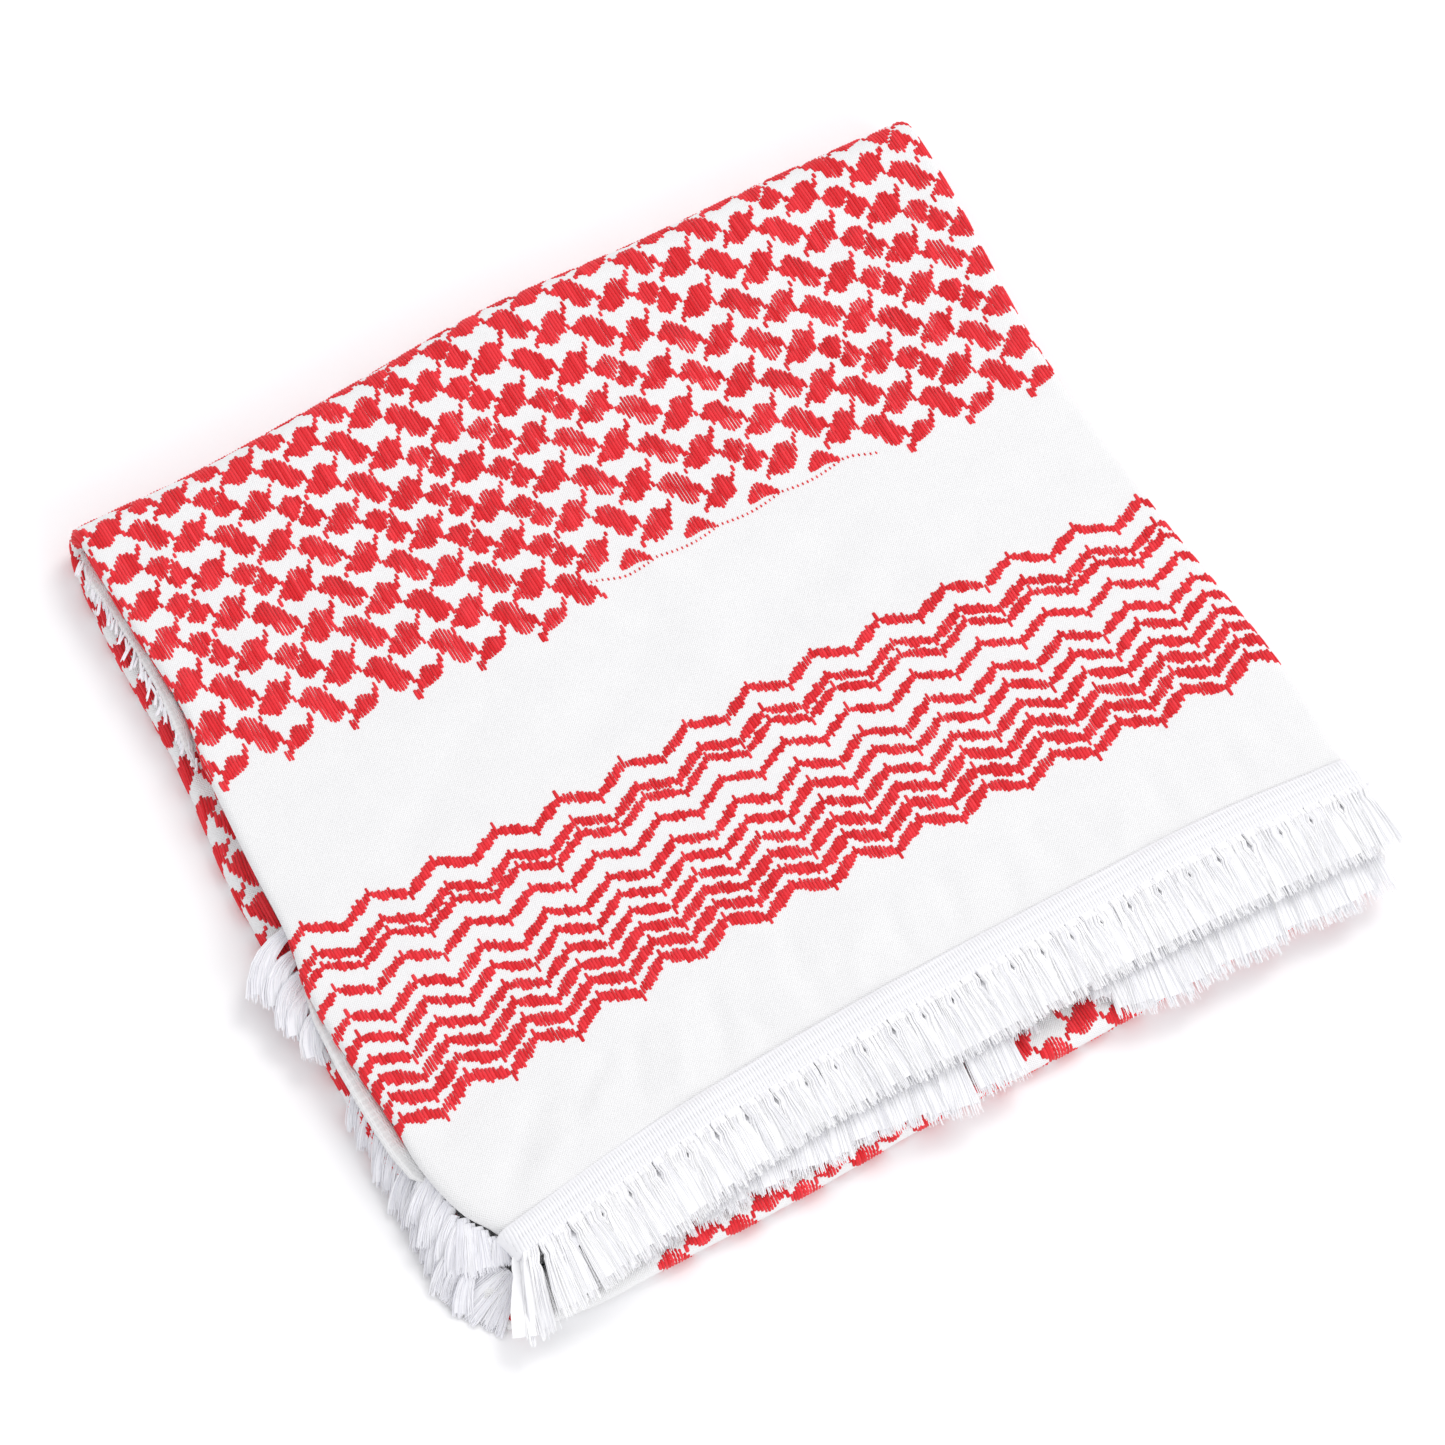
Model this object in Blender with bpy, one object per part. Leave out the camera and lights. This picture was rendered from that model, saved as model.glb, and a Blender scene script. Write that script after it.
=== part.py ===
"""A woven cotton headscarf, folded in four both ways and laid flat.

The scarf is a square of 1.2 m with a tasselled braid on every edge. It was folded in
four across its width, which makes a strip of four layers, and the strip was folded in
four along its length. The bundle is therefore two nested U shapes, each four layers
thick: the outer U runs from the tasselled end on top, round the bend at the back and
along the bottom, and the strip's middle makes the round fold under the tassels.

Plan sizes are millimetres: x runs along the tasselled edge from its left end, y runs
back from the upper edge of the braid, and z is the height above the surface. The
meshes are made in metres, with the origin under the middle of the bundle.
"""

import math

import bmesh
import bpy
import numpy as np

MM = 0.001

# Driving sizes, in millimetres
LAYER = 1.25  # one layer of cloth and the air above it
STRIP = 4 * LAYER  # the strip is four layers thick
STACK = 4 * STRIP  # and the bundle sixteen
MID = STACK / 2  # height of the plane between the two legs of the U
WALL = 1.2  # cloth with its raised red floats
GAP = 0.35  # between neighbouring pieces
BRAID_WIDTH = 9.0
BRAID_WALL = 1.5
FRINGE_WALL = 2.4
FOLD_RETURN = 6.0  # how far a rolled edge runs back under itself
FRONT_FOLD_LINE = -28.0  # the round fold under the tassels: where it lies and its depth
FRONT_FOLD_DEPTH = 15.0
LOW_FRONT = FRONT_FOLD_LINE + FRONT_FOLD_DEPTH + GAP  # the bottom stretch begins here
CENTRE = (139.2, 120.7)  # the middle of the footprint

# Across the width: the lines of the braid's upper edge, of the bend at the back and of
# the second tassels' tips, the reach of the first ones and the height of the front fold
CROSS_LINES = {
    "x": (-12, 0, 44, 100, 150, 205, 255, 300),
    "braid": (-4, -2.5, 3, 6.3, 7.4, 7, 6, 1.5),
    "back": (274.5, 275, 273.8, 276.5, 279.4, 276.4, 275, 272.5),
    "fringe_reach": (31, 31.5, 31, 27.5, 30, 30, 31, 30),
    "second_tip": (-31, -31, -32.5, -32, -32, -33, -37.5, -37),
    "fold_height": (3.4, 5.5, 9, 9.6, 9.6, 9.6, 9.6, 9.2),
}

# The side edges, from the tassels to the back
SIDE_LINES = {
    "y": (-36, -10, 0, 10, 28, 46, 80, 97, 115, 145, 176, 200, 236, 275),
    "top_left": (1, 0, -2, -8, -12, -12, -14, -13.5, -10, -8, -5, -1, -1.5, -1),
    "inner_left": (14, 14, 11, 3, -1, -2, -3, -3, -3, -3, -1, 3, 2.5, 4),
    "top_right": (304, 302, 300, 300, 301, 301, 298.5, 297, 296, 295, 295, 297, 301, 303),
    "top_roll": (7, 7, 7, 6, 4.5, 4.5, 4.5, 4.5, 4.5, 4.5, 4.5, 4.5, 4.5, 6),
    "low_left": (-14, -14, -14, -16, -18, -19, -18, -17, -16, -15, -11, -9, -8, -4),
    "low_right": (299, 299, 299, 299, 299, 299, 297, 296, 295, 294, 294, 296, 299, 301),
    "low_roll": (6, 6, 6, 7, 8, 8, 8, 8, 8, 8, 8, 8, 7.5, 6),
    "droop": (2.5, 2.5, 2.2, 1.1, 0.4, 0, 0, 0, 0, 0, 0, 0, 0, 0),
}
RIGHT_ROLL = STRIP  # the whole strip turns round at the right
EDGE = RIGHT_ROLL - 2 * GAP - 1.2  # half the height of the inner U at its side edges
FOLD_TOP = -2.9  # the front fold's own layers end here, measured from the mid-plane
DROOP_REACH = 70.0  # how far the sunken front corner reaches along the edge

# The fringes of the free side edges: from the roots to the tips, at each y
FRONT_LEFT_FRINGE = {
    "y": (-22, -14, 0, 18, 34, 47),
    "tip_x": (-19, -21.5, -23.5, -22.5, -21.5, -20.5),
    "root_x": (-7, -6, -4, -4, -5, -6),
    "root_z": (7.4, 7.6, 8.4, 10.6, 12, 12.5),
    "tip_z": (1, 1, 1, 1, 1.4, 3.5),
}
MID_LEFT_FRINGE = {
    "y": (82, 92, 104, 116, 122),
    "tip_x": (-21.5, -24.5, -25, -24.5, -21),
    "root_x": (-7.5, -7.5, -7, -7, -7),
    "root_z": (13.6, 13.6, 13.6, 13.6, 13.6),
    "tip_z": (7.5, 8, 8.6, 9.4, 10.5),
}
CORNER_FRINGE = {
    "x": (-4, 0, 4, 7),
    "tip_y": (-10, -13, -13, -10),
}


def line(table, column, key, at):
    """A column of a table at any place, as a smooth curve through its rows."""
    keys = table[key]
    values = table[column]
    at = min(max(at, keys[0]), keys[-1])
    i = min(int(np.searchsorted(keys, at, side="right")) - 1, len(keys) - 2)
    span = keys[i + 1] - keys[i]
    t = (at - keys[i]) / span
    before, after = max(i - 1, 0), min(i + 2, len(keys) - 1)
    slope_in = (values[i + 1] - values[before]) / (keys[i + 1] - keys[before]) * span
    slope_out = (values[after] - values[i]) / (keys[after] - keys[i]) * span
    return (
        values[i] * (1 + 2 * t) * (1 - t) ** 2
        + slope_in * t * (1 - t) ** 2
        + values[i + 1] * t * t * (3 - 2 * t)
        + slope_out * t * t * (t - 1)
    )


def cross(column, x):
    return line(CROSS_LINES, column, "x", x)


def side(column, y):
    return line(SIDE_LINES, column, "y", y)


def rolled(across, left, right, left_roll, right_roll, height):
    """(x, h) on a sheet whose side edges roll under: 0 to 1 is its flat face, below 0
    and above 1 its rolls. h is the distance from the plane between the legs."""
    left_r, right_r = left_roll / 2, right_roll / 2
    if 0 <= across <= 1:
        start, end = left + left_r, right - right_r
        return start + (end - start) * across, height
    radius = left_r if across < 0 else right_r
    run = (-across if across < 0 else across - 1) * (math.pi * radius + FOLD_RETURN)
    if run < math.pi * radius:
        turn = run / radius
        out, down = radius * math.sin(turn), radius * (1 - math.cos(turn))
    else:
        out, down = math.pi * radius - run, 2 * radius
    x = left + left_r - out if across < 0 else right - right_r + out
    return x, height - down


def droop(x, y):
    """The front left corner has only tassels under it, and sinks."""
    near = min(max(1 - max(x, 0) / DROOP_REACH, 0), 1)
    return side("droop", y) * near * near * (3 - 2 * near)


def along_leg(x, h, along, up):
    """A point of a leg of the U. From 0 to 1 it runs from the braid's edge, or from the
    front fold, to the bend, and from 1 to 2 round the bend's upper or lower quarter."""
    front = cross("braid", x) if up > 0 else LOW_FRONT
    axis = cross("back", x) - MID
    if along <= 1:
        return x, front + (axis - front) * along, MID + up * h
    turn = (along - 1) * math.pi / 2
    return x, axis + h * math.sin(turn), MID + up * h * math.cos(turn)


def plan_depth(along):
    """The y at which the side lines are read."""
    return 265.0 * min(along, 1) + MID * math.sin(max(along - 1, 0) * math.pi / 2)


def top_point(across, along):
    y = plan_depth(along)
    x, h = rolled(
        across, side("top_left", y), side("top_right", y), side("top_roll", y), RIGHT_ROLL, MID
    )
    return along_leg(x, h - droop(x, y), along, 1)


def low_point(across, along):
    y = plan_depth(along)
    x, h = rolled(
        across, side("low_left", y), side("low_right", y), side("low_roll", y), RIGHT_ROLL, MID
    )
    return along_leg(x, h, along, -1)


def edge_point(across, forward, sink):
    """The top sheet's section carried forward past the braid's edge, sunk by sink."""
    x, h = rolled(
        across,
        side("top_left", -forward),
        side("top_right", -forward),
        side("top_roll", -forward),
        RIGHT_ROLL,
        MID,
    )
    return x, cross("braid", x) - forward, MID + h - droop(x, -forward) - sink


def in_part_frame(point):
    x, y, z = point
    return (x - CENTRE[0]) * MM, (y - CENTRE[1]) * MM, z * MM


def spread(start, end, steps):
    return [start + (end - start) * i / steps for i in range(steps + 1)]


def joined(*runs):
    """Lists of stations end to end, without the shared ends."""
    return [value for i, run in enumerate(runs) for value in run[(i > 0) :]]


def material(name, colour, roughness):
    made = bpy.data.materials.new(name)
    made.use_nodes = True
    shader = made.node_tree.nodes["Principled BSDF"]
    shader.inputs["Base Color"].default_value = (*colour, 1)
    shader.inputs["Roughness"].default_value = roughness
    shader.inputs["Metallic"].default_value = 0
    return made


def mapped_grid(point_of, rows, columns):
    """A bmesh grid whose vertices are moved to point_of(row value, column value)."""
    bm = bmesh.new()
    bmesh.ops.create_grid(
        bm, x_segments=len(rows) - 1, y_segments=len(columns) - 1, size=1
    )
    for vert in bm.verts:
        i = round((vert.co.x + 1) / 2 * (len(rows) - 1))
        j = round((vert.co.y + 1) / 2 * (len(columns) - 1))
        vert.co = in_part_frame(point_of(rows[i], columns[j]))
    return bm


def add_object(name, bm, look):
    mesh = bpy.data.meshes.new(name)
    bm.to_mesh(mesh)
    bm.free()
    mesh.shade_smooth()
    mesh.materials.append(look)
    made = bpy.data.objects.new(name, mesh)
    bpy.context.scene.collection.objects.link(made)
    return made


def add_wall(name, point_of, rows, columns, thickness, look, outward):
    """A sheet of cloth: a mapped grid, given its thickness on the inner side.
    outward says which way its first face looks, up or down."""
    bm = mapped_grid(point_of, rows, columns)
    bmesh.ops.recalc_face_normals(bm, faces=bm.faces)
    outer = max(bm.faces, key=lambda face: outward * face.calc_center_median().z)
    if outer.normal.z * outward < 0:
        bmesh.ops.reverse_faces(bm, faces=bm.faces)
    made = add_object(name, bm, look)
    wall = made.modifiers.new("wall", "SOLIDIFY")
    wall.thickness = thickness * MM
    wall.offset = -1
    return made


def add_loft(name, ring_of, stations, look):
    """A closed solid through rings, which all have the same number of points."""
    rings = [ring_of(station) for station in stations]
    size = len(rings[0])
    bm = mapped_grid(
        lambda i, j: rings[i][j % size], range(len(rings)), range(size + 1)
    )
    bmesh.ops.remove_doubles(bm, verts=bm.verts, dist=1e-6)
    bmesh.ops.holes_fill(bm, edges=bm.edges, sides=0)
    bmesh.ops.recalc_face_normals(bm, faces=bm.faces)
    return add_object(name, bm, look)


ROLL = spread(-0.62, 0, 4)
ACROSS = joined([-1, -0.62], ROLL, spread(0, 1, 11), [1 - v for v in reversed(ROLL)], [1.62, 2])
LEG = spread(0, 1, 11)


def add_top(look):
    """Top stretch of the outer layer, with both rolled edges and the bend's upper half."""
    return add_wall(
        "cloth_top", top_point, ACROSS, joined(LEG, spread(1, 1.98, 5)), WALL, look, 1
    )


def add_bottom(look):
    """Bottom stretch of the outer layer: flat where it rests, the net cloth's face down."""
    return add_wall(
        "cloth_bottom",
        low_point,
        ACROSS,
        joined(LEG, spread(1, 1.98, 5)),
        WALL,
        look,
        -1,
    )


def front_fold_point(across, turn):
    """The strip's middle: from the bottom, round the front and back over the top."""
    x = -12 + (297 + 12) * across
    radius = cross("fold_height", x) / 2
    axis = FRONT_FOLD_LINE + radius - 5
    if turn < 0:
        return x, axis - turn * (FRONT_FOLD_DEPTH + 5 - radius), 0
    if turn > 1:
        return x, axis + (turn - 1) * FRONT_FOLD_DEPTH, 2 * radius
    angle = turn * math.pi
    return x, axis - radius * math.sin(angle), radius * (1 - math.cos(angle))


def add_front_fold(look):
    return add_wall(
        "cloth_front_fold",
        front_fold_point,
        spread(0, 1, 12),
        joined([-1, 0], spread(0, 1, 7), [1, 1.9]),
        WALL,
        look,
        -1,
    )


def hidden_ring(station):
    """A section of the layers inside, with the rounded edges of the inner U at the
    sides. Forward of the bottom stretch only the front fold's own layers go on, so
    squeeze presses everything over FOLD_TOP down to it."""
    along, forward, top, inset, squeeze = station
    y = plan_depth(along) - forward
    left, low_left = side("inner_left", y) + inset, side("low_left", y) + inset
    right, low_right = side("top_right", y), side("low_right", y)
    reach = FOLD_RETURN + RIGHT_ROLL / 2 + 1.5
    left_reach = side("top_left", y) + inset + FOLD_RETURN + side("top_roll", y) / 2 + 1.5
    low_reach = low_left + FOLD_RETURN + side("low_roll", y) / 2 + 1.5
    low = MID - WALL - 4 * GAP
    face = spread(max(left_reach, left + 3), right - reach, 10)
    rest = spread(low_right - reach, max(low_reach, left + 1), 10)
    ring = [(x, top) for x in face] + [
        (right - reach, EDGE),
        (right - 5, EDGE),
        (right - 3.4, EDGE * 0.8),
        (right - 3, EDGE * 0.5),
        (right - 3.4, EDGE * 0.2),
        (right - 5, 0.1),
        (right - 3.4, -EDGE * 0.2),
        (right - 3, -EDGE * 0.5),
        (right - 3.4, -EDGE * 0.8),
        (right - 5, -EDGE),
        (low_right - reach, -EDGE - 0.1),
    ]
    ring += [(x, -low) for x in rest] + [
        (max(low_reach, left + 1), -0.9),
        (max(low_left + 5, left - 3), -0.9),
        (max(low_left + 5, left - 3), EDGE * 0.1),
        (left + 0.4, EDGE * 0.2),
        (left, EDGE * 0.5),
        (left + 0.4, EDGE * 0.85),
        (max(left_reach, left + 3), EDGE),
    ]
    made = []
    for x, h in ring:
        if h > FOLD_TOP:
            h = FOLD_TOP + (h - FOLD_TOP) * squeeze
        if forward:
            made.append((x, cross("braid", x) - forward, MID + h))
        else:
            made.append(upright(x, h, along))
    return made


def upright(x, h, along):
    """A point of the inside at the same y for both legs, and round the bend."""
    front, axis = cross("braid", x), cross("back", x) - MID
    if along <= 1:
        return x, front + (axis - front) * along, MID + h
    turn = (along - 1) * math.pi / 2
    return x, axis + abs(h) * math.sin(turn), MID + h * math.cos(turn)


def add_hidden(look):
    """Every layer that doesn't show, as one solid, stepped where the layers end."""
    top = MID - WALL - 2 * GAP
    stations = [
        (0, 23, top, 40, 0.08),
        (0, 9.4, top, 40, 0.08),
        (0, 8.6, top - 3, 3, 1),
        (0, 0.5, top - 2.4, 1, 1),
    ]
    stations += [(along, 0, top - 2 * (along < 0.1), 0, 1) for along in spread(0.03, 1, 9)]
    stations += [(along, 0, top, 0, 1) for along in (1.3, 1.6, 1.85)]
    return add_loft("hidden_layers", hidden_ring, stations, look)


def add_braid(look):
    """The woven tape sewn along the end of the top layer, turned under with it."""
    return add_wall(
        "braid_front",
        lambda across, forward: edge_point(across, forward, 0.05 * forward),
        ACROSS,
        [GAP, BRAID_WIDTH / 2, BRAID_WIDTH],
        BRAID_WALL,
        look,
        1,
    )


def fringe_point(across, reach):
    """reach is 0 at the tassels' heads and 1 at their tips, which hang lower."""
    x = edge_point(across, BRAID_WIDTH, 0)[0]
    start = BRAID_WIDTH + GAP
    forward = start + (cross("fringe_reach", x) - start) * reach
    return edge_point(across, forward, 0.45 + 4.0 * reach**1.5)


def add_front_fringe(look):
    """The reach of the tassels under the braid."""
    across = joined(spread(-0.5, 0, 3), spread(0, 1, 11), spread(1, 1.5, 3))
    return add_wall(
        "fringe_front", fringe_point, across, spread(0, 1, 3), FRINGE_WALL, look, 1
    )


def second_ring(x):
    """The tassels of the layers below the top one, lying on the front fold. Tips that
    reach past the fold sag a little."""
    front, tip = cross("braid", x), cross("second_tip", x)
    floor = MID + 0.2
    tip_floor = floor - 0.45 * max(FRONT_FOLD_LINE - 5 - tip, 0)
    return [
        (x, front - 10, 14.6 - droop(x, -9)),
        (x, front - 20, 12.8 - 0.6 * droop(x, -9)),
        (x, tip, tip_floor + 1.2),
        (x, tip, tip_floor),
        (x, tip + 8, floor),
        (x, front - 10, floor),
    ]


def add_second_fringe(look):
    return add_loft("fringe_second", second_ring, spread(22, 297, 11), look)


def side_fringe_ring(table, y):
    """Tassels of a free side edge: they leave between the rolls and hang over the
    lower one to the surface."""
    tip, root = line(table, "tip_x", "y", y), line(table, "root_x", "y", y)
    high, low = line(table, "root_z", "y", y), line(table, "tip_z", "y", y)
    over = side("low_left", y) - 2.2
    shoulder = max(side("low_roll", y) + 1.0, low + 1.4)
    return [
        (root, y, high),
        (over + 2.5, y, max(high - 1.2, shoulder + 1.8)),
        (tip, y, low + 1.6),
        (tip + 0.7, y, low),
        (over, y, min(shoulder - 4.5, low + 3) if low < 3 else low),
        (over + 1.2, y, shoulder - 1.2),
        (over + 3.4, y, shoulder),
        (root, y, shoulder),
    ]


def add_side_fringe(name, table, look):
    ends = table["y"]
    stations = spread(ends[0], ends[-1], 6)
    return add_loft(name, lambda y: side_fringe_ring(table, y), stations, look)


def corner_ring(x):
    """Tassels of the braid that is turned under the front left corner."""
    tip = line(CORNER_FRINGE, "tip_y", "x", x)
    return [
        (x, 0, 9.8),
        (x, tip, 7.6),
        (x, tip, 6.4),
        (x, 0, 8.4),
    ]


def add_corner_fringe(look):
    return add_loft("fringe_corner", corner_ring, spread(-4, 7, 4), look)


def clear_scene():
    for old in list(bpy.data.objects):
        bpy.data.objects.remove(old, do_unlink=True)


def main():
    clear_scene()
    red_net = material("red_and_white_cotton", (0.78, 0.35, 0.36), 0.85)
    white = material("white_cotton", (0.9, 0.9, 0.92), 0.85)
    braid = material("white_cotton_braid", (0.88, 0.88, 0.91), 0.8)
    tassels = material("white_cotton_tassels", (0.84, 0.84, 0.88), 0.8)
    add_top(red_net)
    add_bottom(red_net)
    add_front_fold(red_net)
    add_hidden(white)
    add_braid(braid)
    add_front_fringe(tassels)
    add_second_fringe(tassels)
    add_side_fringe("fringe_left_front", FRONT_LEFT_FRINGE, tassels)
    add_side_fringe("fringe_left_middle", MID_LEFT_FRINGE, tassels)
    add_corner_fringe(tassels)


main()
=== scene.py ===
# %% [markdown]
# A checked headscarf, folded into a flat square
# This lesson builds the look of a woven cotton scarf: a white ground with raised red threads,
# a braid with tassels along its edges, folded in four both ways and laid on a table. The solids
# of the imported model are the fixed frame. Every visible piece is made afresh around them.

import bmesh
import bpy
import numpy as np
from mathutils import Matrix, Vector


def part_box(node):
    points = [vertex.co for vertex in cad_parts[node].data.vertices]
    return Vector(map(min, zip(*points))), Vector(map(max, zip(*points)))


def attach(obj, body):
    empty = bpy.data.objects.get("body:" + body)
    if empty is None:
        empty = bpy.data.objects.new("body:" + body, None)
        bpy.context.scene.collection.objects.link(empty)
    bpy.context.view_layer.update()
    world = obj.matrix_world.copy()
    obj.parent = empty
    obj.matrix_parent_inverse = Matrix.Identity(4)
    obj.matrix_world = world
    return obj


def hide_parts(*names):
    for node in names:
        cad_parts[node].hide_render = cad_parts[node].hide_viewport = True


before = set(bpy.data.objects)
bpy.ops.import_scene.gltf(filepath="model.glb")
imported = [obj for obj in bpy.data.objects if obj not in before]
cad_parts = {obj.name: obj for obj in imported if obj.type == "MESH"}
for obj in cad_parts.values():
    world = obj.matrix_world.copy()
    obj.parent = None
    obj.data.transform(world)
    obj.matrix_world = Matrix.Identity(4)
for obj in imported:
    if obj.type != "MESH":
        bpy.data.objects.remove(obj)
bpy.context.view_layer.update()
MM = 0.001
print("nodes:", sorted(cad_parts))

# %% [markdown]
# The plan
# A folded cloth is easiest to describe in a plan of its own, in millimetres: x runs along the
# tasselled edge, y runs back from it, and z is the height above the table. Two solids tell us
# where that plan lies in the frame, because their first sections are at known places.

# %% Where the plan lies
FOLD_START_X = -12.0
FRINGE_START_Y = -22.0
PLAN_ORIGIN = np.array(
    [
        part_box("cloth_front_fold")[0][0] / MM - FOLD_START_X,
        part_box("fringe_left_front")[0][1] / MM - FRINGE_START_Y,
        0.0,
    ]
)


def in_frame(points):
    """Plan millimetres as metres in the frame."""
    return (np.asarray(points, float) + PLAN_ORIGIN) * MM


print("plan origin, mm:", PLAN_ORIGIN.round(2))

# %% [markdown]
# The camera
# The scarf is seen from high up on its front left side, with a long lens, so that its edges
# stay almost parallel. The camera aims at a point on the upper face.

# %% The camera
AZIMUTH, ELEVATION = np.radians(-30.28), np.radians(63.87)
LENS_MM, SENSOR_MM, DISTANCE = 161.94, 36.0, 2.009
AIM_X, AIM_Y, AIM_Z = 140.63, 109.86, 20.0

to_camera = np.array(
    [
        np.sin(AZIMUTH) * np.cos(ELEVATION),
        -np.cos(AZIMUTH) * np.cos(ELEVATION),
        np.sin(ELEVATION),
    ]
)
aim = in_frame([AIM_X, AIM_Y, AIM_Z])
camera_data = bpy.data.cameras.new("camera")
camera_data.lens = LENS_MM
camera_data.sensor_width = SENSOR_MM
camera = bpy.data.objects.new("camera", camera_data)
camera.location = Vector(aim + to_camera * DISTANCE)
camera.rotation_euler = Vector(to_camera).to_track_quat("Z", "Y").to_euler()
bpy.context.scene.collection.objects.link(camera)
bpy.context.scene.camera = camera
print("camera at", [round(v, 3) for v in camera.location])

# %% [markdown]
# Colours and nodes
# Hex colours are how a dyer's or a printer's chart gives a colour, but Blender's shaders work in
# linear light, so one function converts them. One more function adds a node to a material with
# its settings and links. Everything below is wired with these two.

# %% Colour and node helpers


def linear(hex_colour):
    """A linear RGBA tuple from an sRGB hex colour."""
    channels = [int(hex_colour[i : i + 2], 16) / 255 for i in (1, 3, 5)]
    return (*((c / 12.92 if c <= 0.04045 else ((c + 0.055) / 1.055) ** 2.4) for c in channels), 1.0)


def add_node(tree, kind, settings=None, **inputs):
    """A node with its properties set, and its inputs given a value or linked to a socket."""
    node = tree.nodes.new(kind)
    for name, value in (settings or {}).items():
        setattr(node, name, value)
    for name, value in inputs.items():
        key = int(name[1:]) if name[0] == "_" else name.replace("_", " ")
        if isinstance(value, bpy.types.NodeSocket):
            tree.links.new(value, node.inputs[key])
        else:
            node.inputs[key].default_value = value
    return node


def work_out(tree, operation, *values):
    """What a maths node makes of its inputs, in order."""
    inputs = {f"_{k}": value for k, value in enumerate(values)}
    return add_node(tree, "ShaderNodeMath", {"operation": operation}, **inputs).outputs[0]


def blend(tree, share, first, second, how="MIX"):
    """A colour made from two."""
    settings = {"data_type": "RGBA", "blend_type": how}
    return add_node(tree, "ShaderNodeMix", settings, _0=share, _6=first, _7=second).outputs[2]


def add_bump(tree, shader, height, strength, distance):
    bump = add_node(tree, "ShaderNodeBump", Strength=strength, Distance=distance, Height=height)
    tree.links.new(bump.outputs[0], shader.inputs["Normal"])


def new_material(name, roughness):
    """A material with its Principled BSDF, whose base settings suit dry cotton."""
    made = bpy.data.materials.new(name)
    made.use_nodes = True
    shader = made.node_tree.nodes["Principled BSDF"]
    shader.inputs["Roughness"].default_value = roughness
    shader.inputs["Specular IOR Level"].default_value = 0.25
    return made, made.node_tree, shader


# %% [markdown]
# The white ground
# The ground is plain-woven cotton: warp and weft threads cross about every 0.9 mm, drawn a
# little coarser than life so that they show. Washing has raised a soft nap, which gives the
# white faint clouds, and sheen at a low angle. The weave follows the cloth's own map, which
# holds millimetres, so it bends with every fold.

# %% White cotton
THREAD_MM = 0.9


def woven_height(tree, uv):
    """Height of a plain weave: two sets of ridges at right angles."""
    places = add_node(tree, "ShaderNodeSeparateXYZ", _0=uv).outputs
    turns = 2 * np.pi / THREAD_MM
    ridges = [work_out(tree, "SINE", work_out(tree, "MULTIPLY", places[k], turns)) for k in (0, 1)]
    return work_out(tree, "MULTIPLY", *ridges)


def make_white_cotton():
    made, tree, shader = new_material("white_plain_woven_cotton", 0.88)
    shader.inputs["Sheen Weight"].default_value = 0.15
    shader.inputs["Sheen Roughness"].default_value = 0.5
    uv = add_node(tree, "ShaderNodeUVMap", {"uv_map": "cloth_mm"}).outputs[0]
    weave = woven_height(tree, uv)
    slub = add_node(tree, "ShaderNodeTexNoise", Vector=uv, Scale=0.9, Detail=3.0, Roughness=0.6)
    nap = add_node(tree, "ShaderNodeTexNoise", Vector=uv, Scale=0.07, Detail=4.0, Roughness=0.62)
    cloudy = blend(tree, nap.outputs[0], linear("#F0F0F1"), linear("#F9F9F9"))
    # the weave, from -1 to 1, paints shade into the pores between its threads, down to 0.93
    painted_pore_shade = add_node(tree, "ShaderNodeMapRange", _0=weave, _1=-1.0, _2=1.0, _3=0.93, _4=1.0)
    toned = blend(tree, 1.0, cloudy, painted_pore_shade.outputs[0], "MULTIPLY")
    tree.links.new(toned, shader.inputs["Base Color"])
    add_bump(tree, shader, work_out(tree, "MULTIPLY_ADD", slub.outputs[0], 1.6, weave), 0.45, 0.00025)
    return made


white_cotton = make_white_cotton()
print("made", white_cotton.name)

# %% [markdown]
# The red threads
# The pattern is not printed. Thicker red cotton threads float over the ground for a few
# millimetres and dive under again, so each is a small raised ridge with a slight lustre. The
# dye took a little differently on each one, which an attribute called tint carries.

# %% Red cotton floats


def make_yarn(name, dark, light, roughness, scale, strength, distance):
    """Dyed yarn. Its bump is fine streaks along it: noise squeezed across its map's v."""
    made, tree, shader = new_material(name, roughness)
    shader.inputs["Sheen Weight"].default_value = 0.1
    tint = add_node(tree, "ShaderNodeAttribute", {"attribute_name": "tint"}).outputs["Fac"]
    tree.links.new(blend(tree, tint, linear(dark), linear(light)), shader.inputs["Base Color"])
    uv = add_node(tree, "ShaderNodeUVMap", {"uv_map": "cloth_mm"}).outputs[0]
    stretched = add_node(tree, "ShaderNodeMapping", Vector=uv, Scale=(scale, scale * 0.12, 1.0))
    streaks = add_node(tree, "ShaderNodeTexNoise", Vector=stretched.outputs[0], Scale=1.0, Detail=2.0)
    add_bump(tree, shader, streaks.outputs[0], strength, distance)
    return made


red_cotton = make_yarn("red_dyed_cotton_floats", "#D8141F", "#F63C46", 0.7, 7.0, 0.35, 0.0002)
print("made", red_cotton.name)

# %% [markdown]
# Braid and tassel yarn
# The braid is a ribbed tape of mercerised cotton, and the tassels are loose ends of the same
# yarn: whiter and a little glossier than the ground, with shade gathering between the strands.
# They are made as the red threads are, with broader and fainter streaks. Where a fringe lies in shadow,
# its yarn's tint is lowered towards the darker colour as painted shade.

# %% Cotton braid and tassel yarn
FAINT_STREAKS = (3.0, 0.12, 0.0001)
braid_cotton = make_yarn("ribbed_white_cotton_braid", "#F3F3F6", "#FDFDFE", 0.75, *FAINT_STREAKS)
# the yarn's darker colour also serves as painted shade, where a fringe's tint is lowered
tassel_yarn = make_yarn("loose_white_cotton_yarn", "#E6E6EF", "#FFFFFF", 0.6, *FAINT_STREAKS)
print("made", braid_cotton.name, "and", tassel_yarn.name)

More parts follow.
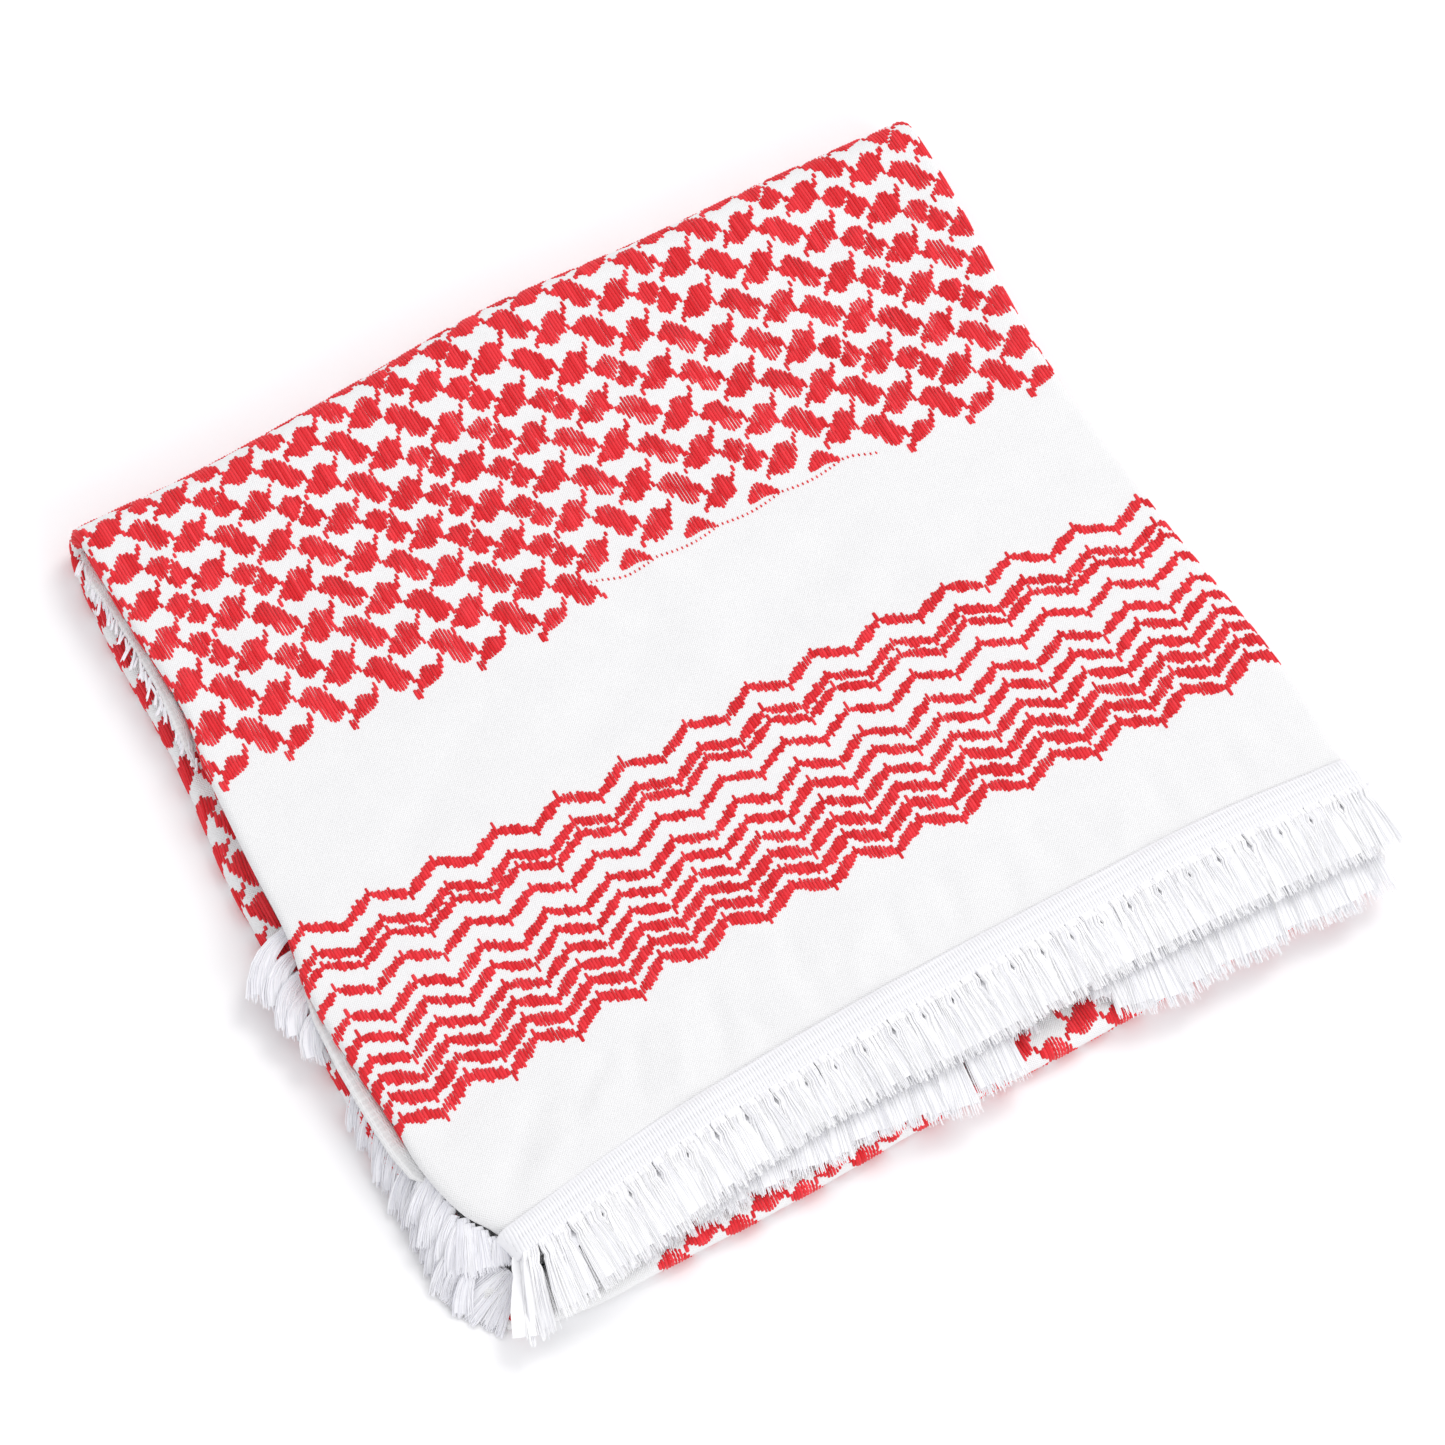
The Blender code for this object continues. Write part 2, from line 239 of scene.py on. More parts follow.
# %% [markdown]
# Lines across the cloth
# The folds and the borders of the pattern aren't straight: cloth shifts as it is folded. Two
# short tables give each line at a few places, and a smooth curve runs through the rows. They
# repeat the solids' own tables, and add where the woven borders lie.

# %% The tables of lines
STRIP, MID = 5.0, 10.0
ROUND_THE_RIGHT = np.pi * STRIP / 2  # the length of cloth on the right-hand roll
FOLD_RETURN = 6.0  # the cloth past a roll, between the layers
FLAT_DEPTH = 265.0  # how far back the upper face runs before it bends down
FRONT_FOLD_LINE, FRONT_FOLD_DEPTH = -28.0, 15.0
LOW_FRONT = FRONT_FOLD_LINE + FRONT_FOLD_DEPTH + 0.35
FOLD_END_X, FOLD_CORNER = 297.0, 14.0
BRAID_WIDTH = 9.0
DROOP_REACH = 70.0
INSET = 0.45  # the ground lies this far inside the solid, and the floats fill the rest

CROSS_LINES = {
    "x": (-12, 0, 44, 100, 150, 205, 255, 300),
    "braid": (-4, -2.5, 3, 6.3, 7.4, 7, 6, 1.5),
    "back": (274.5, 275, 273.8, 276.5, 279.4, 276.4, 275, 272.5),
    "fringe_reach": (31, 31.5, 31, 27.5, 30, 30, 31, 30),
    "fold_height": (3.4, 5.5, 9, 9.6, 9.6, 9.6, 9.6, 9.2),
}
SIDE_LINES = {
    "y": (-36, -10, 0, 10, 28, 46, 80, 97, 115, 145, 176, 200, 236, 275),
    "top_left": (1, 0, -2, -8, -12, -12, -14, -13.5, -10, -8, -5, -1, -1.5, -1),
    "inner_left": (14, 14, 11, 3, -1, -2, -3, -3, -3, -3, -1, 3, 2.5, 4),
    "top_right": (304, 302, 300, 300, 301, 301, 298.5, 297, 296, 295, 295, 297, 301, 303),
    "top_roll": (7, 7, 7, 6, 4.5, 4.5, 4.5, 4.5, 4.5, 4.5, 4.5, 4.5, 4.5, 6),
    "low_left": (-14, -14, -14, -16, -18, -19, -18, -17, -16, -15, -11, -9, -8, -4),
    "low_right": (299, 299, 299, 299, 299, 299, 297, 296, 295, 294, 294, 296, 299, 301),
    "low_roll": (6, 6, 6, 7, 8, 8, 8, 8, 8, 8, 8, 8, 7.5, 6),
    "droop": (2.5, 2.5, 2.2, 1.1, 0.4, 0, 0, 0, 0, 0, 0, 0, 0, 0),
}
# How far back a weft thread lies at each x. The keys are its number in the pattern.
WEFT_LINES = {
    "x": (-12, 0, 44, 100, 150, 205, 255, 300),
    0: (-5, -4, 0, 4, 6, 5, 3, 0),
    48: (44, 46, 47.8, 52.2, 51.5, 50.5, 48.5, 48),
    82: (82, 82.3, 82.4, 83, 86.3, 85.8, 83.2, 79.5),
    115: (115, 114.8, 114.3, 113.7, 116.8, 117, 114.6, 111),
    181: (189, 188.3, 186.3, 182.5, 180, 180.5, 181, 178.5),
    213: (223, 222.2, 219.7, 214.3, 212, 212, 213.5, 211),
    228: (236, 235.7, 234, 228.8, 226, 227, 228, 225),
    244: (251, 250.5, 249.5, 244.5, 242, 243.5, 244.5, 241),
    260: (266, 265.2, 264, 261.5, 258.8, 259.5, 260.3, 257),
}


def line(table, column, key, at):
    """A column of a table at any places, as a smooth curve through its rows."""
    keys, values = np.array(table[key], float), np.array(table[column], float)
    at = np.clip(np.asarray(at, float), keys[0], keys[-1])
    i = np.clip(np.searchsorted(keys, at, side="right") - 1, 0, len(keys) - 2)
    span = keys[i + 1] - keys[i]
    t = (at - keys[i]) / span
    before, after = np.maximum(i - 1, 0), np.minimum(i + 2, len(keys) - 1)
    slope_in = (values[i + 1] - values[before]) / (keys[i + 1] - keys[before]) * span
    slope_out = (values[after] - values[i]) / (keys[after] - keys[i]) * span
    return (
        values[i] * (1 + 2 * t) * (1 - t) ** 2
        + slope_in * t * (1 - t) ** 2
        + values[i + 1] * t * t * (3 - 2 * t)
        + slope_out * t * t * (t - 1)
    )


def cross(column, x):
    return line(CROSS_LINES, column, "x", x)


def side(column, y):
    return line(SIDE_LINES, column, "y", y)


def ease(t):
    """From 0 to 1 with a gentle start and end."""
    t = np.clip(t, 0, 1)
    return t * t * (3 - 2 * t)


print("the braid's upper edge at x = 0, 150, 300:", cross("braid", [0, 150, 300]).round(1))

# %% [markdown]
# Creases
# A cloth that was folded and packed keeps soft creases. Each is a short line with a width and
# a depth, and its profile is a bell curve that fades at both ends. They are as uneven as real
# ones: short ones behind the braid, long shallow ones over the pattern.

# %% The crease table
CREASE_STRENGTH = 1.4
# x and y of both ends, width of the trough, depth (a ridge is negative), in mm
CREASES = (
    (4, 8, 34, 30, 4.0, 0.8),
    (14, 6, 50, 24, 3.5, -0.6),
    (30, 12, 58, 34, 3.0, 0.6),
    (56, 10, 66, 36, 3.0, 0.6),
    (70, 9, 76, 30, 2.5, -0.5),
    (84, 10, 92, 38, 3.5, 0.7),
    (98, 9, 101, 26, 2.5, 0.5),
    (118, 12, 122, 42, 3.5, 0.6),
    (132, 10, 140, 30, 3.0, -0.5),
    (150, 12, 153, 34, 3.0, 0.6),
    (171, 12, 170, 38, 3.5, 0.5),
    (186, 10, 192, 28, 2.5, 0.5),
    (206, 11, 204, 36, 3.5, 0.6),
    (226, 10, 232, 26, 2.5, -0.4),
    (246, 10, 243, 34, 3.5, 0.5),
    (268, 8, 272, 30, 3.0, 0.5),
    (286, 6, 284, 28, 3.0, 0.4),
    (-8, 34, 20, 38, 4.5, 0.5),
    (10, 60, 60, 74, 7.0, 0.5),
    (80, 54, 150, 66, 8.0, 0.5),
    (160, 90, 240, 84, 9.0, 0.5),
    (30, 120, 80, 150, 7.0, 0.5),
    (96, 122, 150, 158, 7.0, 0.4),
    (150, 124, 214, 150, 8.0, 0.45),
    (200, 122, 280, 132, 8.0, 0.4),
    (150, 4, 152, 275, 9.0, -0.35),
    (64, 160, 62, 270, 8.0, -0.35),
    (226, 40, 230, 272, 9.0, -0.3),
    (0, 214, 120, 212, 6.0, 0.45),
    (100, 208, 296, 206, 6.0, 0.45),
    (4, 240, 90, 236, 6.0, 0.3),
    (150, 238, 290, 238, 7.0, 0.35),
    (20, 264, 110, 268, 5.0, 0.35),
    (160, 266, 280, 264, 5.0, 0.3),
)


def creased(x, y):
    """Height of the upper face over a perfectly flat one."""
    height = 0.18 * np.sin(x / 23 + y / 41) + 0.14 * np.sin(x / 37 - y / 19 + 1.3)
    for x0, y0, x1, y1, width, depth in CREASES:
        run = np.hypot(x1 - x0, y1 - y0)
        ux, uy = (x1 - x0) / run, (y1 - y0) / run
        along = ((x - x0) * ux + (y - y0) * uy) / run
        off = (x - x0) * uy - (y - y0) * ux + 1.2 * np.sin(along * 5 + x0)
        fade = ease((along + 0.15) / 0.4) * ease((1.15 - along) / 0.4)
        height = height - depth * np.exp(-((off / width) ** 2)) * fade
    return height


print(len(CREASES), "creases")

# %% [markdown]
# The outer layer as one surface
# On the real scarf one stretch of cloth runs from the braid over the top, round the back and
# under the bundle, with its side edges turned in. So it is one function of two lengths: how
# far across the cloth, and how far along it. A point past the side line goes round the roll,
# and a point past the back line goes round the bend.

# %% Points of the outer layer


def droop(x, y):
    """The front left corner has only tassels under it, and sinks."""
    near = np.clip(1 - np.maximum(x, 0) / DROOP_REACH, 0, 1)
    return side("droop", y) * near * near * (3 - 2 * near)


def round_edge(over, radius):
    """(outward, down) of a point that is over mm past the start of a rolled edge."""
    over = np.maximum(over, 0)
    turn = np.minimum(over / radius, np.pi)
    straight = np.maximum(over - np.pi * radius, 0)
    return radius * np.sin(turn) - straight, radius * (1 - np.cos(turn))


def flat_part(depth, under):
    """Where the flat part of the section starts and ends, and the left-hand roll's radius."""
    left, right, roll = (
        side("top_" + name, depth) * (1 - under) + side("low_" + name, depth) * under
        for name in ("left", "right", "roll")
    )
    return left + roll / 2, right - STRIP / 2, roll / 2


def section(across, depth, under):
    """(x, h) of the layer's section: across is x as if it were flat, h the distance from
    the plane between the legs, and under goes from 0 on top to 1 at the bottom."""
    start, end, left_r = flat_part(depth, under)
    out_left, down_left = round_edge(start - across, left_r)
    out_right, down_right = round_edge(across - end, STRIP / 2)
    x = np.clip(across, start, end) - out_left + out_right
    return x, MID - down_left - down_right, start, end


def folds_at(across, along):
    """(y of the flat part, turn round the bend, depth, under) of a point of the layer."""
    bend = cross("back", across) - MID
    past = along - bend
    turn = np.clip(past / MID, 0, np.pi)
    y_flat = bend + np.minimum(past, 0) - np.maximum(past - np.pi * MID, 0)
    return y_flat, turn, y_flat + MID * np.sin(turn), ease(turn / np.pi)


def outer_point(across, along):
    """A point of the outer layer's ground, in plan mm."""
    y_flat, turn, depth, under = folds_at(across, along)
    x, h, start, end = section(across, depth, under)
    face = ease((across - start) / 12) * ease((end - across) / 12) * (1 - ease(turn / 1.2))
    h = h - INSET - (1 - ease(turn / 0.8)) * droop(x, depth)
    h = h + face * CREASE_STRENGTH * creased(x, depth)
    return np.stack([x, y_flat + h * np.sin(turn), MID + h * np.cos(turn)], -1)


def with_normals(surface, across, along):
    """Points of a surface and the directions out of it."""
    step = 0.15
    here = surface(across, along)
    u = surface(across + step, along) - surface(across - step, along)
    v = surface(across, along + step) - surface(across, along - step)
    out = np.cross(u, v)
    return here, out / np.maximum(np.linalg.norm(out, axis=-1, keepdims=True), 1e-9)


print("top of the bundle, mm:", outer_point(np.array([150.0]), np.array([140.0])).round(2))

# %% [markdown]
# From arrays to meshes
# A grid operator gives the shell its faces, and a surface function moves its vertices. The
# same helper keeps the cloth's own millimetres in a UV map, so that the weave follows it.
# Small things that repeat thousands of times are one joined mesh, filled from arrays.

# %% Mesh helpers


def finish_piece(name, mesh, look, nodes=(), smooth=True):
    mesh.materials.append(look)
    if smooth:
        mesh.shade_smooth()
    piece = bpy.data.objects.new(name, mesh)
    bpy.context.scene.collection.objects.link(piece)
    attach(piece, "root")
    if nodes:
        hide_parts(*nodes)
    return piece


def mesh_from(bm, name):
    mesh = bpy.data.meshes.new(name)
    bm.to_mesh(mesh)
    bm.free()
    return mesh


def vertex_places(mesh):
    place = np.empty(len(mesh.vertices) * 3, np.float32)
    mesh.vertices.foreach_get("co", place)
    return place.reshape(-1, 3)


def set_uv(mesh, per_vertex):
    layer = mesh.uv_layers.new(name="cloth_mm")
    corner = np.empty(len(mesh.loops), np.int32)
    mesh.loops.foreach_get("vertex_index", corner)
    layer.data.foreach_set("uv", per_vertex[corner].astype(np.float32).ravel())


def shell_mesh(name, surface, across, along):
    """A grid laid on surface(across, along). Both are 2-D arrays of one shape."""
    rows, columns = across.shape
    bm = bmesh.new()
    bmesh.ops.create_grid(bm, x_segments=rows - 1, y_segments=columns - 1, size=1)
    mesh = mesh_from(bm, name)
    place = vertex_places(mesh)
    i = np.rint((place[:, 0] + 1) / 2 * (rows - 1)).astype(int)
    j = np.rint((place[:, 1] + 1) / 2 * (columns - 1)).astype(int)
    u, v = across[i, j], along[i, j]
    mesh.vertices.foreach_set("co", in_frame(surface(u, v)).astype(np.float32).ravel())
    set_uv(mesh, np.stack([u, v], -1))
    return mesh


def array_mesh(name, points, faces, uv, tint):
    mesh = bpy.data.meshes.new(name)
    mesh.from_pydata(in_frame(points), [], faces.tolist())
    set_uv(mesh, uv)
    attribute = mesh.attributes.new("tint", "FLOAT", "POINT")
    attribute.data.foreach_set("value", tint.astype(np.float32))
    return mesh


def solidify(piece, thickness):
    wall = piece.modifiers.new("wall", "SOLIDIFY")
    wall.thickness = thickness * MM
    wall.offset = -1


# %% [markdown]
# The shell of the outer layer
# The columns are close together on the rolled edges and the rows on the bend, and further
# apart on the flat faces. A Solidify modifier then gives the cloth its thickness inwards.

# %% Cloth, outer layer
CLOTH_MM = 0.7


def spaced(*runs):
    """Numbers from (start, end, steps) runs, end to end."""
    return np.unique(np.concatenate([np.linspace(a, b, n + 1) for a, b, n in runs]).round(6))


def outer_grid():
    """across and along for each vertex: the rolls and the bend are followed exactly."""
    t = spaced((-1, 0, 12), (0, 1, 118), (1, 2, 12))
    w = spaced((0, 1, 108), (1, 2, 12), (2, 3, 90))
    t, w = np.meshgrid(t, w, indexing="ij")
    bend = cross("back", 300 * np.clip(t, 0, 1)) - MID
    below = FLAT_DEPTH + (w - 2) * (LOW_FRONT - FLAT_DEPTH)
    depth = np.where(w < 1.5, FLAT_DEPTH * np.minimum(w, 1), below)
    start, end, left_r = flat_part(depth, ease(w - 1))
    across = (
        start
        + (end - start) * np.clip(t, 0, 1)
        + np.minimum(t, 0) * (np.pi * left_r + FOLD_RETURN)
        + np.maximum(t - 1, 0) * (ROUND_THE_RIGHT + FOLD_RETURN)
    )
    front = cross("braid", across)
    along = (
        front
        + (bend - front) * np.minimum(w, 1)
        + np.clip(w - 1, 0, 1) * np.pi * MID
        + np.maximum(w - 2, 0) * (bend - LOW_FRONT)
    )
    return across, along


across_grid, along_grid = outer_grid()
cloth_outer = finish_piece(
    "cloth_outer",
    shell_mesh("cloth_outer", outer_point, across_grid, along_grid),
    white_cotton,
    ("cloth_top", "cloth_bottom"),
)
solidify(cloth_outer, CLOTH_MM)
print("outer layer:", len(cloth_outer.data.polygons), "quads")

# %% [markdown]
# The front fold
# Under the tassels the middle of the strip turns round: a soft half-round roll of cloth with
# the same net pattern. Its two ends draw back a little, as the corners of a fold do.

# %% Cloth, front fold


def fold_section(x):
    """How far a place is drawn back as a corner, 0 to 1, then half the fold's height there,
    its radius and the length of its flat underside."""
    corner = 1 - ease(np.minimum(x - FOLD_START_X, FOLD_END_X - x) / 9)
    middle = cross("fold_height", x) / 2
    radius = middle - INSET - 0.25 * corner * middle
    return corner, middle, radius, FRONT_FOLD_DEPTH + 5 - middle


def front_fold_point(across, along):
    """along starts at the rear of the flat underside, goes forward, round and back."""
    corner, middle, radius, flat = fold_section(across)
    axis = FRONT_FOLD_LINE + middle - 5 + 3.5 * corner + 0.5 * np.sin(across / 17) * (1 - corner)
    axis = axis + 4.0 * ease((22 - across) / 32)
    turn = np.clip((along - flat) / radius, 0, np.pi)
    after = np.maximum(along - flat - np.pi * radius, 0)
    before = np.maximum(flat - along, 0)
    y = axis + before + after - radius * np.sin(turn)
    return np.stack([across, y, middle - radius * np.cos(turn)], -1)


def front_fold_grid():
    first, last = FOLD_START_X + FOLD_CORNER, FOLD_END_X - FOLD_CORNER
    x = spaced((FOLD_START_X, first, 12), (first, last, 110), (last, FOLD_END_X, 12))
    w = spaced((0, 1, 6), (1, 2, 14), (2, 3, 6))
    x, w = np.meshgrid(x, w, indexing="ij")
    _, _, radius, flat = fold_section(x)
    along = flat * np.minimum(w, 1) + np.clip(w - 1, 0, 1) * np.pi * radius
    return x, along + np.maximum(w - 2, 0) * 13


cloth_front_fold = finish_piece(
    "cloth_front_fold_skin",
    shell_mesh("cloth_front_fold_skin", front_fold_point, *front_fold_grid()),
    white_cotton,
    ("cloth_front_fold",),
)
solidify(cloth_front_fold, CLOTH_MM)
print("front fold:", len(cloth_front_fold.data.polygons), "quads")

# %% [markdown]
# The layers inside
# Inside the outer layer the strip goes round again. What shows of it is at the sides: on the
# right two round folds of the whole strip, on the left the thin edges of separate layers, each
# a little out of line with the next. The rest is hidden, so all of it is one rounded body.

# %% Inner layers
EDGE = STRIP - 1.9
INNER_TOP = MID - 1.9


def noses(count, low, high, bulge, steps):
    """(outward, h) up a stack of rounded edges."""
    found = []
    for k in range(count):
        for turn in np.linspace(0.12, np.pi - 0.12, steps):
            h = low + (high - low) * (k + (1 - np.cos(turn)) / 2) / count
            found.append((bulge * np.sin(turn), h))
    return found


def inner_ring(depth):
    """The section at one depth, as (x, h), anticlockwise from the lower right."""
    right = min(side("top_right", depth), side("low_right", depth)) - 3.2
    left = float(side("inner_left", depth))
    low_left = float(side("low_left", depth)) + 8
    top_left = float(side("top_left", depth)) + FOLD_RETURN + 4.5
    ring = [(right - 8, -INNER_TOP), (right - 8, -EDGE - 0.4)]
    ring += [(right - 2.4 + out, h) for out, h in noses(2, -EDGE - 0.3, EDGE + 0.3, 2.4, 7)]
    ring += [(right - 8, EDGE + 0.4), (right - 8, INNER_TOP)]
    ring += [(max(top_left, left + 3), INNER_TOP), (max(top_left, left + 3), EDGE + 0.6)]
    layers = noses(5, EDGE, -0.9, 0.7, 5)
    for k, (out, h) in enumerate(layers):
        shift = 0.8 * np.sin(depth / (9 + 3 * (k // 5)) + 2.1 * (k // 5))
        ring.append((left + 0.5 - out + shift, h))
    ring += [(max(low_left, left), -1.2), (max(low_left, left), -INNER_TOP)]
    return ring


def inner_mesh():
    flat = [(d, 0.0) for d in np.linspace(4, FLAT_DEPTH, 62)]
    bent = [(FLAT_DEPTH + 9 * np.sin(a), a) for a in np.linspace(0.15, 1.35, 6)]
    rings = []
    for depth, angle in flat + bent:
        ring = np.array(inner_ring(depth))
        x, h = ring[:, 0], ring[:, 1]
        y_flat = cross("back", x) - MID + (0 if angle else depth - FLAT_DEPTH)
        y = y_flat + np.abs(h) * np.sin(angle)
        sunk = np.where(h > EDGE, droop(x, depth), 0)
        rings.append(np.stack([x, y, MID + h * np.cos(angle) - sunk], -1))
    rings = np.array(rings)
    count, size = rings.shape[:2]
    bm = bmesh.new()
    bmesh.ops.create_grid(bm, x_segments=count - 1, y_segments=size, size=1)
    for vert in bm.verts:
        i = round((vert.co.x + 1) / 2 * (count - 1))
        j = round((vert.co.y + 1) / 2 * size) % size
        vert.co = in_frame(rings[i, j])
    bmesh.ops.remove_doubles(bm, verts=bm.verts, dist=1e-7)
    bmesh.ops.holes_fill(bm, edges=bm.edges, sides=0)
    bmesh.ops.recalc_face_normals(bm, faces=bm.faces)
    mesh = mesh_from(bm, "inner_layers")
    place = vertex_places(mesh) / MM
    set_uv(mesh, np.stack([place[:, 0] + place[:, 2], place[:, 1]], -1))
    return mesh


inner_layers = finish_piece(
    "inner_layers", inner_mesh(), white_cotton, ("hidden_layers",)
)
print("inner layers:", len(inner_layers.data.polygons), "faces")

# %% [markdown]
# One float, and laying thousands of them
# A float is where the red weft passes over several ground threads. Its shape is made once, as a
# three-sided ridge that closes to a point at each end. Arrays then copy it: each copy has a
# place across the cloth, a low and a high end along it, and the surface function bends it over
# the folds. Where the folds are tight, a second shape with more stations bends better.

# %% The float's shape
# how far along it each station lies, and how wide and high the float is there
STRAIGHT_STATIONS = ((0.0, 0.05, 0.5, 0.95, 1.0), (0.0, 0.85, 1.0, 0.85, 0.0))
BENT_STATIONS = (
    (0.0, 0.05, 0.2, 0.35, 0.5, 0.65, 0.8, 0.95, 1.0),
    (0.0, 0.85, 0.95, 1.0, 1.0, 1.0, 0.95, 0.85, 0.0),
)
FLOAT_SECTION = ((-1.0, 0.0), (0.0, 1.0), (1.0, 0.0))
FLOAT_WIDTH, FLOAT_LIFT, FLOAT_SUNK = 1.54, 0.5, 0.08
DIVES_MM = 0.25  # how far past its chart each end goes on, as it dives under
ENDS_VARY = 0.7  # how many threads an end may be out of its chart


def float_shape(stations):
    """Vertices as (across -1 to 1, along 0 to 1, lift 0 to 1), and triangles."""
    bm = bmesh.new()
    rows, sides = len(stations[0]) - 1, len(FLOAT_SECTION)
    bmesh.ops.create_grid(bm, x_segments=rows, y_segments=sides, size=1)
    for vert in bm.verts:
        along, size = (column[round((vert.co.x + 1) / 2 * rows)] for column in stations)
        across, lift = FLOAT_SECTION[round((vert.co.y + 1) / 2 * sides) % sides]
        vert.co = (across * size, along, lift * size)
    bmesh.ops.remove_doubles(bm, verts=bm.verts, dist=1e-5)
    bmesh.ops.triangulate(bm, faces=bm.faces)
    bmesh.ops.recalc_face_normals(bm, faces=bm.faces)
    bm.verts.index_update()
    points = np.array([vert.co[:] for vert in bm.verts])
    faces = np.array([[vert.index for vert in face.verts] for face in bm.faces])
    bm.free()
    return points, faces


STRAIGHT, BENT = float_shape(STRAIGHT_STATIONS), float_shape(BENT_STATIONS)


def lay_floats(name, surface, spots, seed, shape=STRAIGHT):
    """One mesh of floats. spots has a row for each: across, low end, high end, width."""
    random = np.random.default_rng(seed)
    place, triangles = shape
    width = spots[:, 3:4] * random.uniform(0.76, 1.06, (len(spots), 1))
    across = spots[:, :1] + place[:, 0] * width / 2
    low, high = spots[:, 1:2] - DIVES_MM, spots[:, 2:3] + DIVES_MM
    along = low + (high - low) * place[:, 1]
    here, out = with_normals(surface, across, along)
    lift = FLOAT_LIFT * random.uniform(0.85, 1.1, (len(spots), 1)) * place[:, 2] - FLOAT_SUNK
    points = (here + out * lift[..., None]).reshape(-1, 3)
    faces = (triangles[None] + np.arange(len(spots))[:, None, None] * len(place)).reshape(-1, 3)
    uv = np.stack([across, along], -1).reshape(-1, 2)
    tint = np.repeat(random.uniform(0.1, 0.9, len(spots)), len(place))
    mesh = array_mesh(name, points, faces, uv, tint)
    piece = finish_piece(name, mesh, red_cotton)
    print(name, len(spots), "floats,", len(faces), "triangles")
    return piece


print("a float has", len(STRAIGHT[1]), "triangles, and on a bend", len(BENT[1]))

# %% [markdown]
# Where the warp and weft threads run
# The pattern is charted on straight threads, but the cloth on the table has shifted. The weft
# lines say how far back each weft lies, and two more tables say where the pattern's columns
# stand across the cloth, at the front and at the back of each band.

# %% Thread places
NET_COLUMNS = {
    "column": (-2, 0, 3, 6, 9, 12, 15),
    "front_x": (-41.5, 3, 70, 135, 204, 268, 334),
    "back_x": (-39, 7, 76, 141.5, 211, 281.5, 350),
}
CHEVRON_PEAKS = {
    "peak": (-1, 0, 2, 4, 6, 8, 10, 13, 14),
    "back_x": (-27.5, -4.5, 40.5, 84, 130.5, 177, 224, 293, 316),
    "front_x": (-32, -9, 38.8, 85, 131, 176.5, 223.5, 293.5, 317),
}
NET_FRONT, NET_BACK = 181.0, 260.0
CHEVRON_FRONT, CHEVRON_BACK = 48.0, 115.0
WEFTS = np.array([key for key in WEFT_LINES if key != "x"], float)


def weft(number, x):
    """How far along the cloth weft number lies at x. Past the last line it goes evenly."""
    number, x = np.broadcast_arrays(np.asarray(number, float), np.asarray(x, float))
    lines = np.array([line(WEFT_LINES, int(key), "x", x) for key in WEFTS])
    i = np.clip(np.searchsorted(WEFTS, number) - 1, 0, len(WEFTS) - 2)
    low, high = (np.take_along_axis(lines, k[None], 0)[0] for k in (i, i + 1))
    t = np.minimum((number - WEFTS[i]) / (WEFTS[i + 1] - WEFTS[i]), 1)
    return low + (high - low) * t + np.maximum(number - WEFTS[-1], 0)


def column_x(table, key, column, number, front, back):
    """The x of a pattern column at a weft."""
    t = np.clip((number - front) / (back - front), 0, 1)
    return line(table, "front_x", key, column) * (1 - t) + line(table, "back_x", key, column) * t


def end_of_under(x):
    """How far along the cloth the bottom stretch ends and the front fold begins."""
    bend = cross("back", x) - MID
    return bend + np.pi * MID + bend - LOW_FRONT


def on_outer(spots):
    """The spots that lie on the outer layer, its rolled edges included."""
    across, middle = spots[:, 0], (spots[:, 1] + spots[:, 2]) / 2
    _, _, depth, under = folds_at(across, middle)
    start, end, left_r = flat_part(depth, under)
    inside = (across > start - np.pi * left_r - 4) & (across < end + ROUND_THE_RIGHT + 4)
    return spots[inside & (spots[:, 2] < end_of_under(across))]


print("weft 115 lies at", weft(115, [0, 150, 300]).round(1), "mm")

# %% [markdown]
# The chevron band
# Ten zigzag stripes cross the scarf. Every thread of a stripe is one float, a little longer in
# the middle of a leg than at its ends. A single thread stands up at each peak and hangs down at
# each valley. The stripes near the border are heavier than those behind.

# %% The chevrons
# weft of the peaks, thickness of a leg
CHEVRON_ROWS = (
    (115.0, 3.4),
    (105.3, 3.3),
    (100.6, 3.0),
    (91.5, 3.0),
    (82.0, 3.2),
    (74.8, 3.3),
    (67.6, 3.4),
    (61.0, 3.9),
    (54.7, 4.1),
    (48.2, 4.0),
)
THREADS_IN_CHEVRON = 22
PEAK_TO_VALLEY = 6.2
CHEVRON_WIDTH = FLOAT_WIDTH * 1.04


def chevron_spots():
    random = np.random.default_rng(11)
    spots = []
    thread = np.arange(-THREADS_IN_CHEVRON, 14 * THREADS_IN_CHEVRON)
    for peak, thick in CHEVRON_ROWS:
        place = thread / THREADS_IN_CHEVRON
        down = 1 - np.abs(1 - 2 * (place % 1))
        middle = peak - 0.9 - (PEAK_TO_VALLEY - 0.6) * down
        half = thick / 2 * (0.4 + 0.74 * np.sin(np.pi * np.clip(down, 0.02, 0.98)) ** 0.6)
        phase = thread % THREADS_IN_CHEVRON
        low = middle - half - 1.8 * (phase == THREADS_IN_CHEVRON // 2)
        high = middle + half + 1.7 * (phase == 0)
        low = low + random.uniform(-ENDS_VARY, ENDS_VARY, len(thread))
        high = high + random.uniform(-ENDS_VARY, ENDS_VARY, len(thread))
        x = column_x(CHEVRON_PEAKS, "peak", place, middle, CHEVRON_FRONT, CHEVRON_BACK)
        spots.append(np.stack([x, weft(low, x), weft(high, x), 0 * x + CHEVRON_WIDTH], -1))
    return on_outer(np.concatenate(spots))


chevron_floats = lay_floats("chevron_floats", outer_point, chevron_spots(), 12)

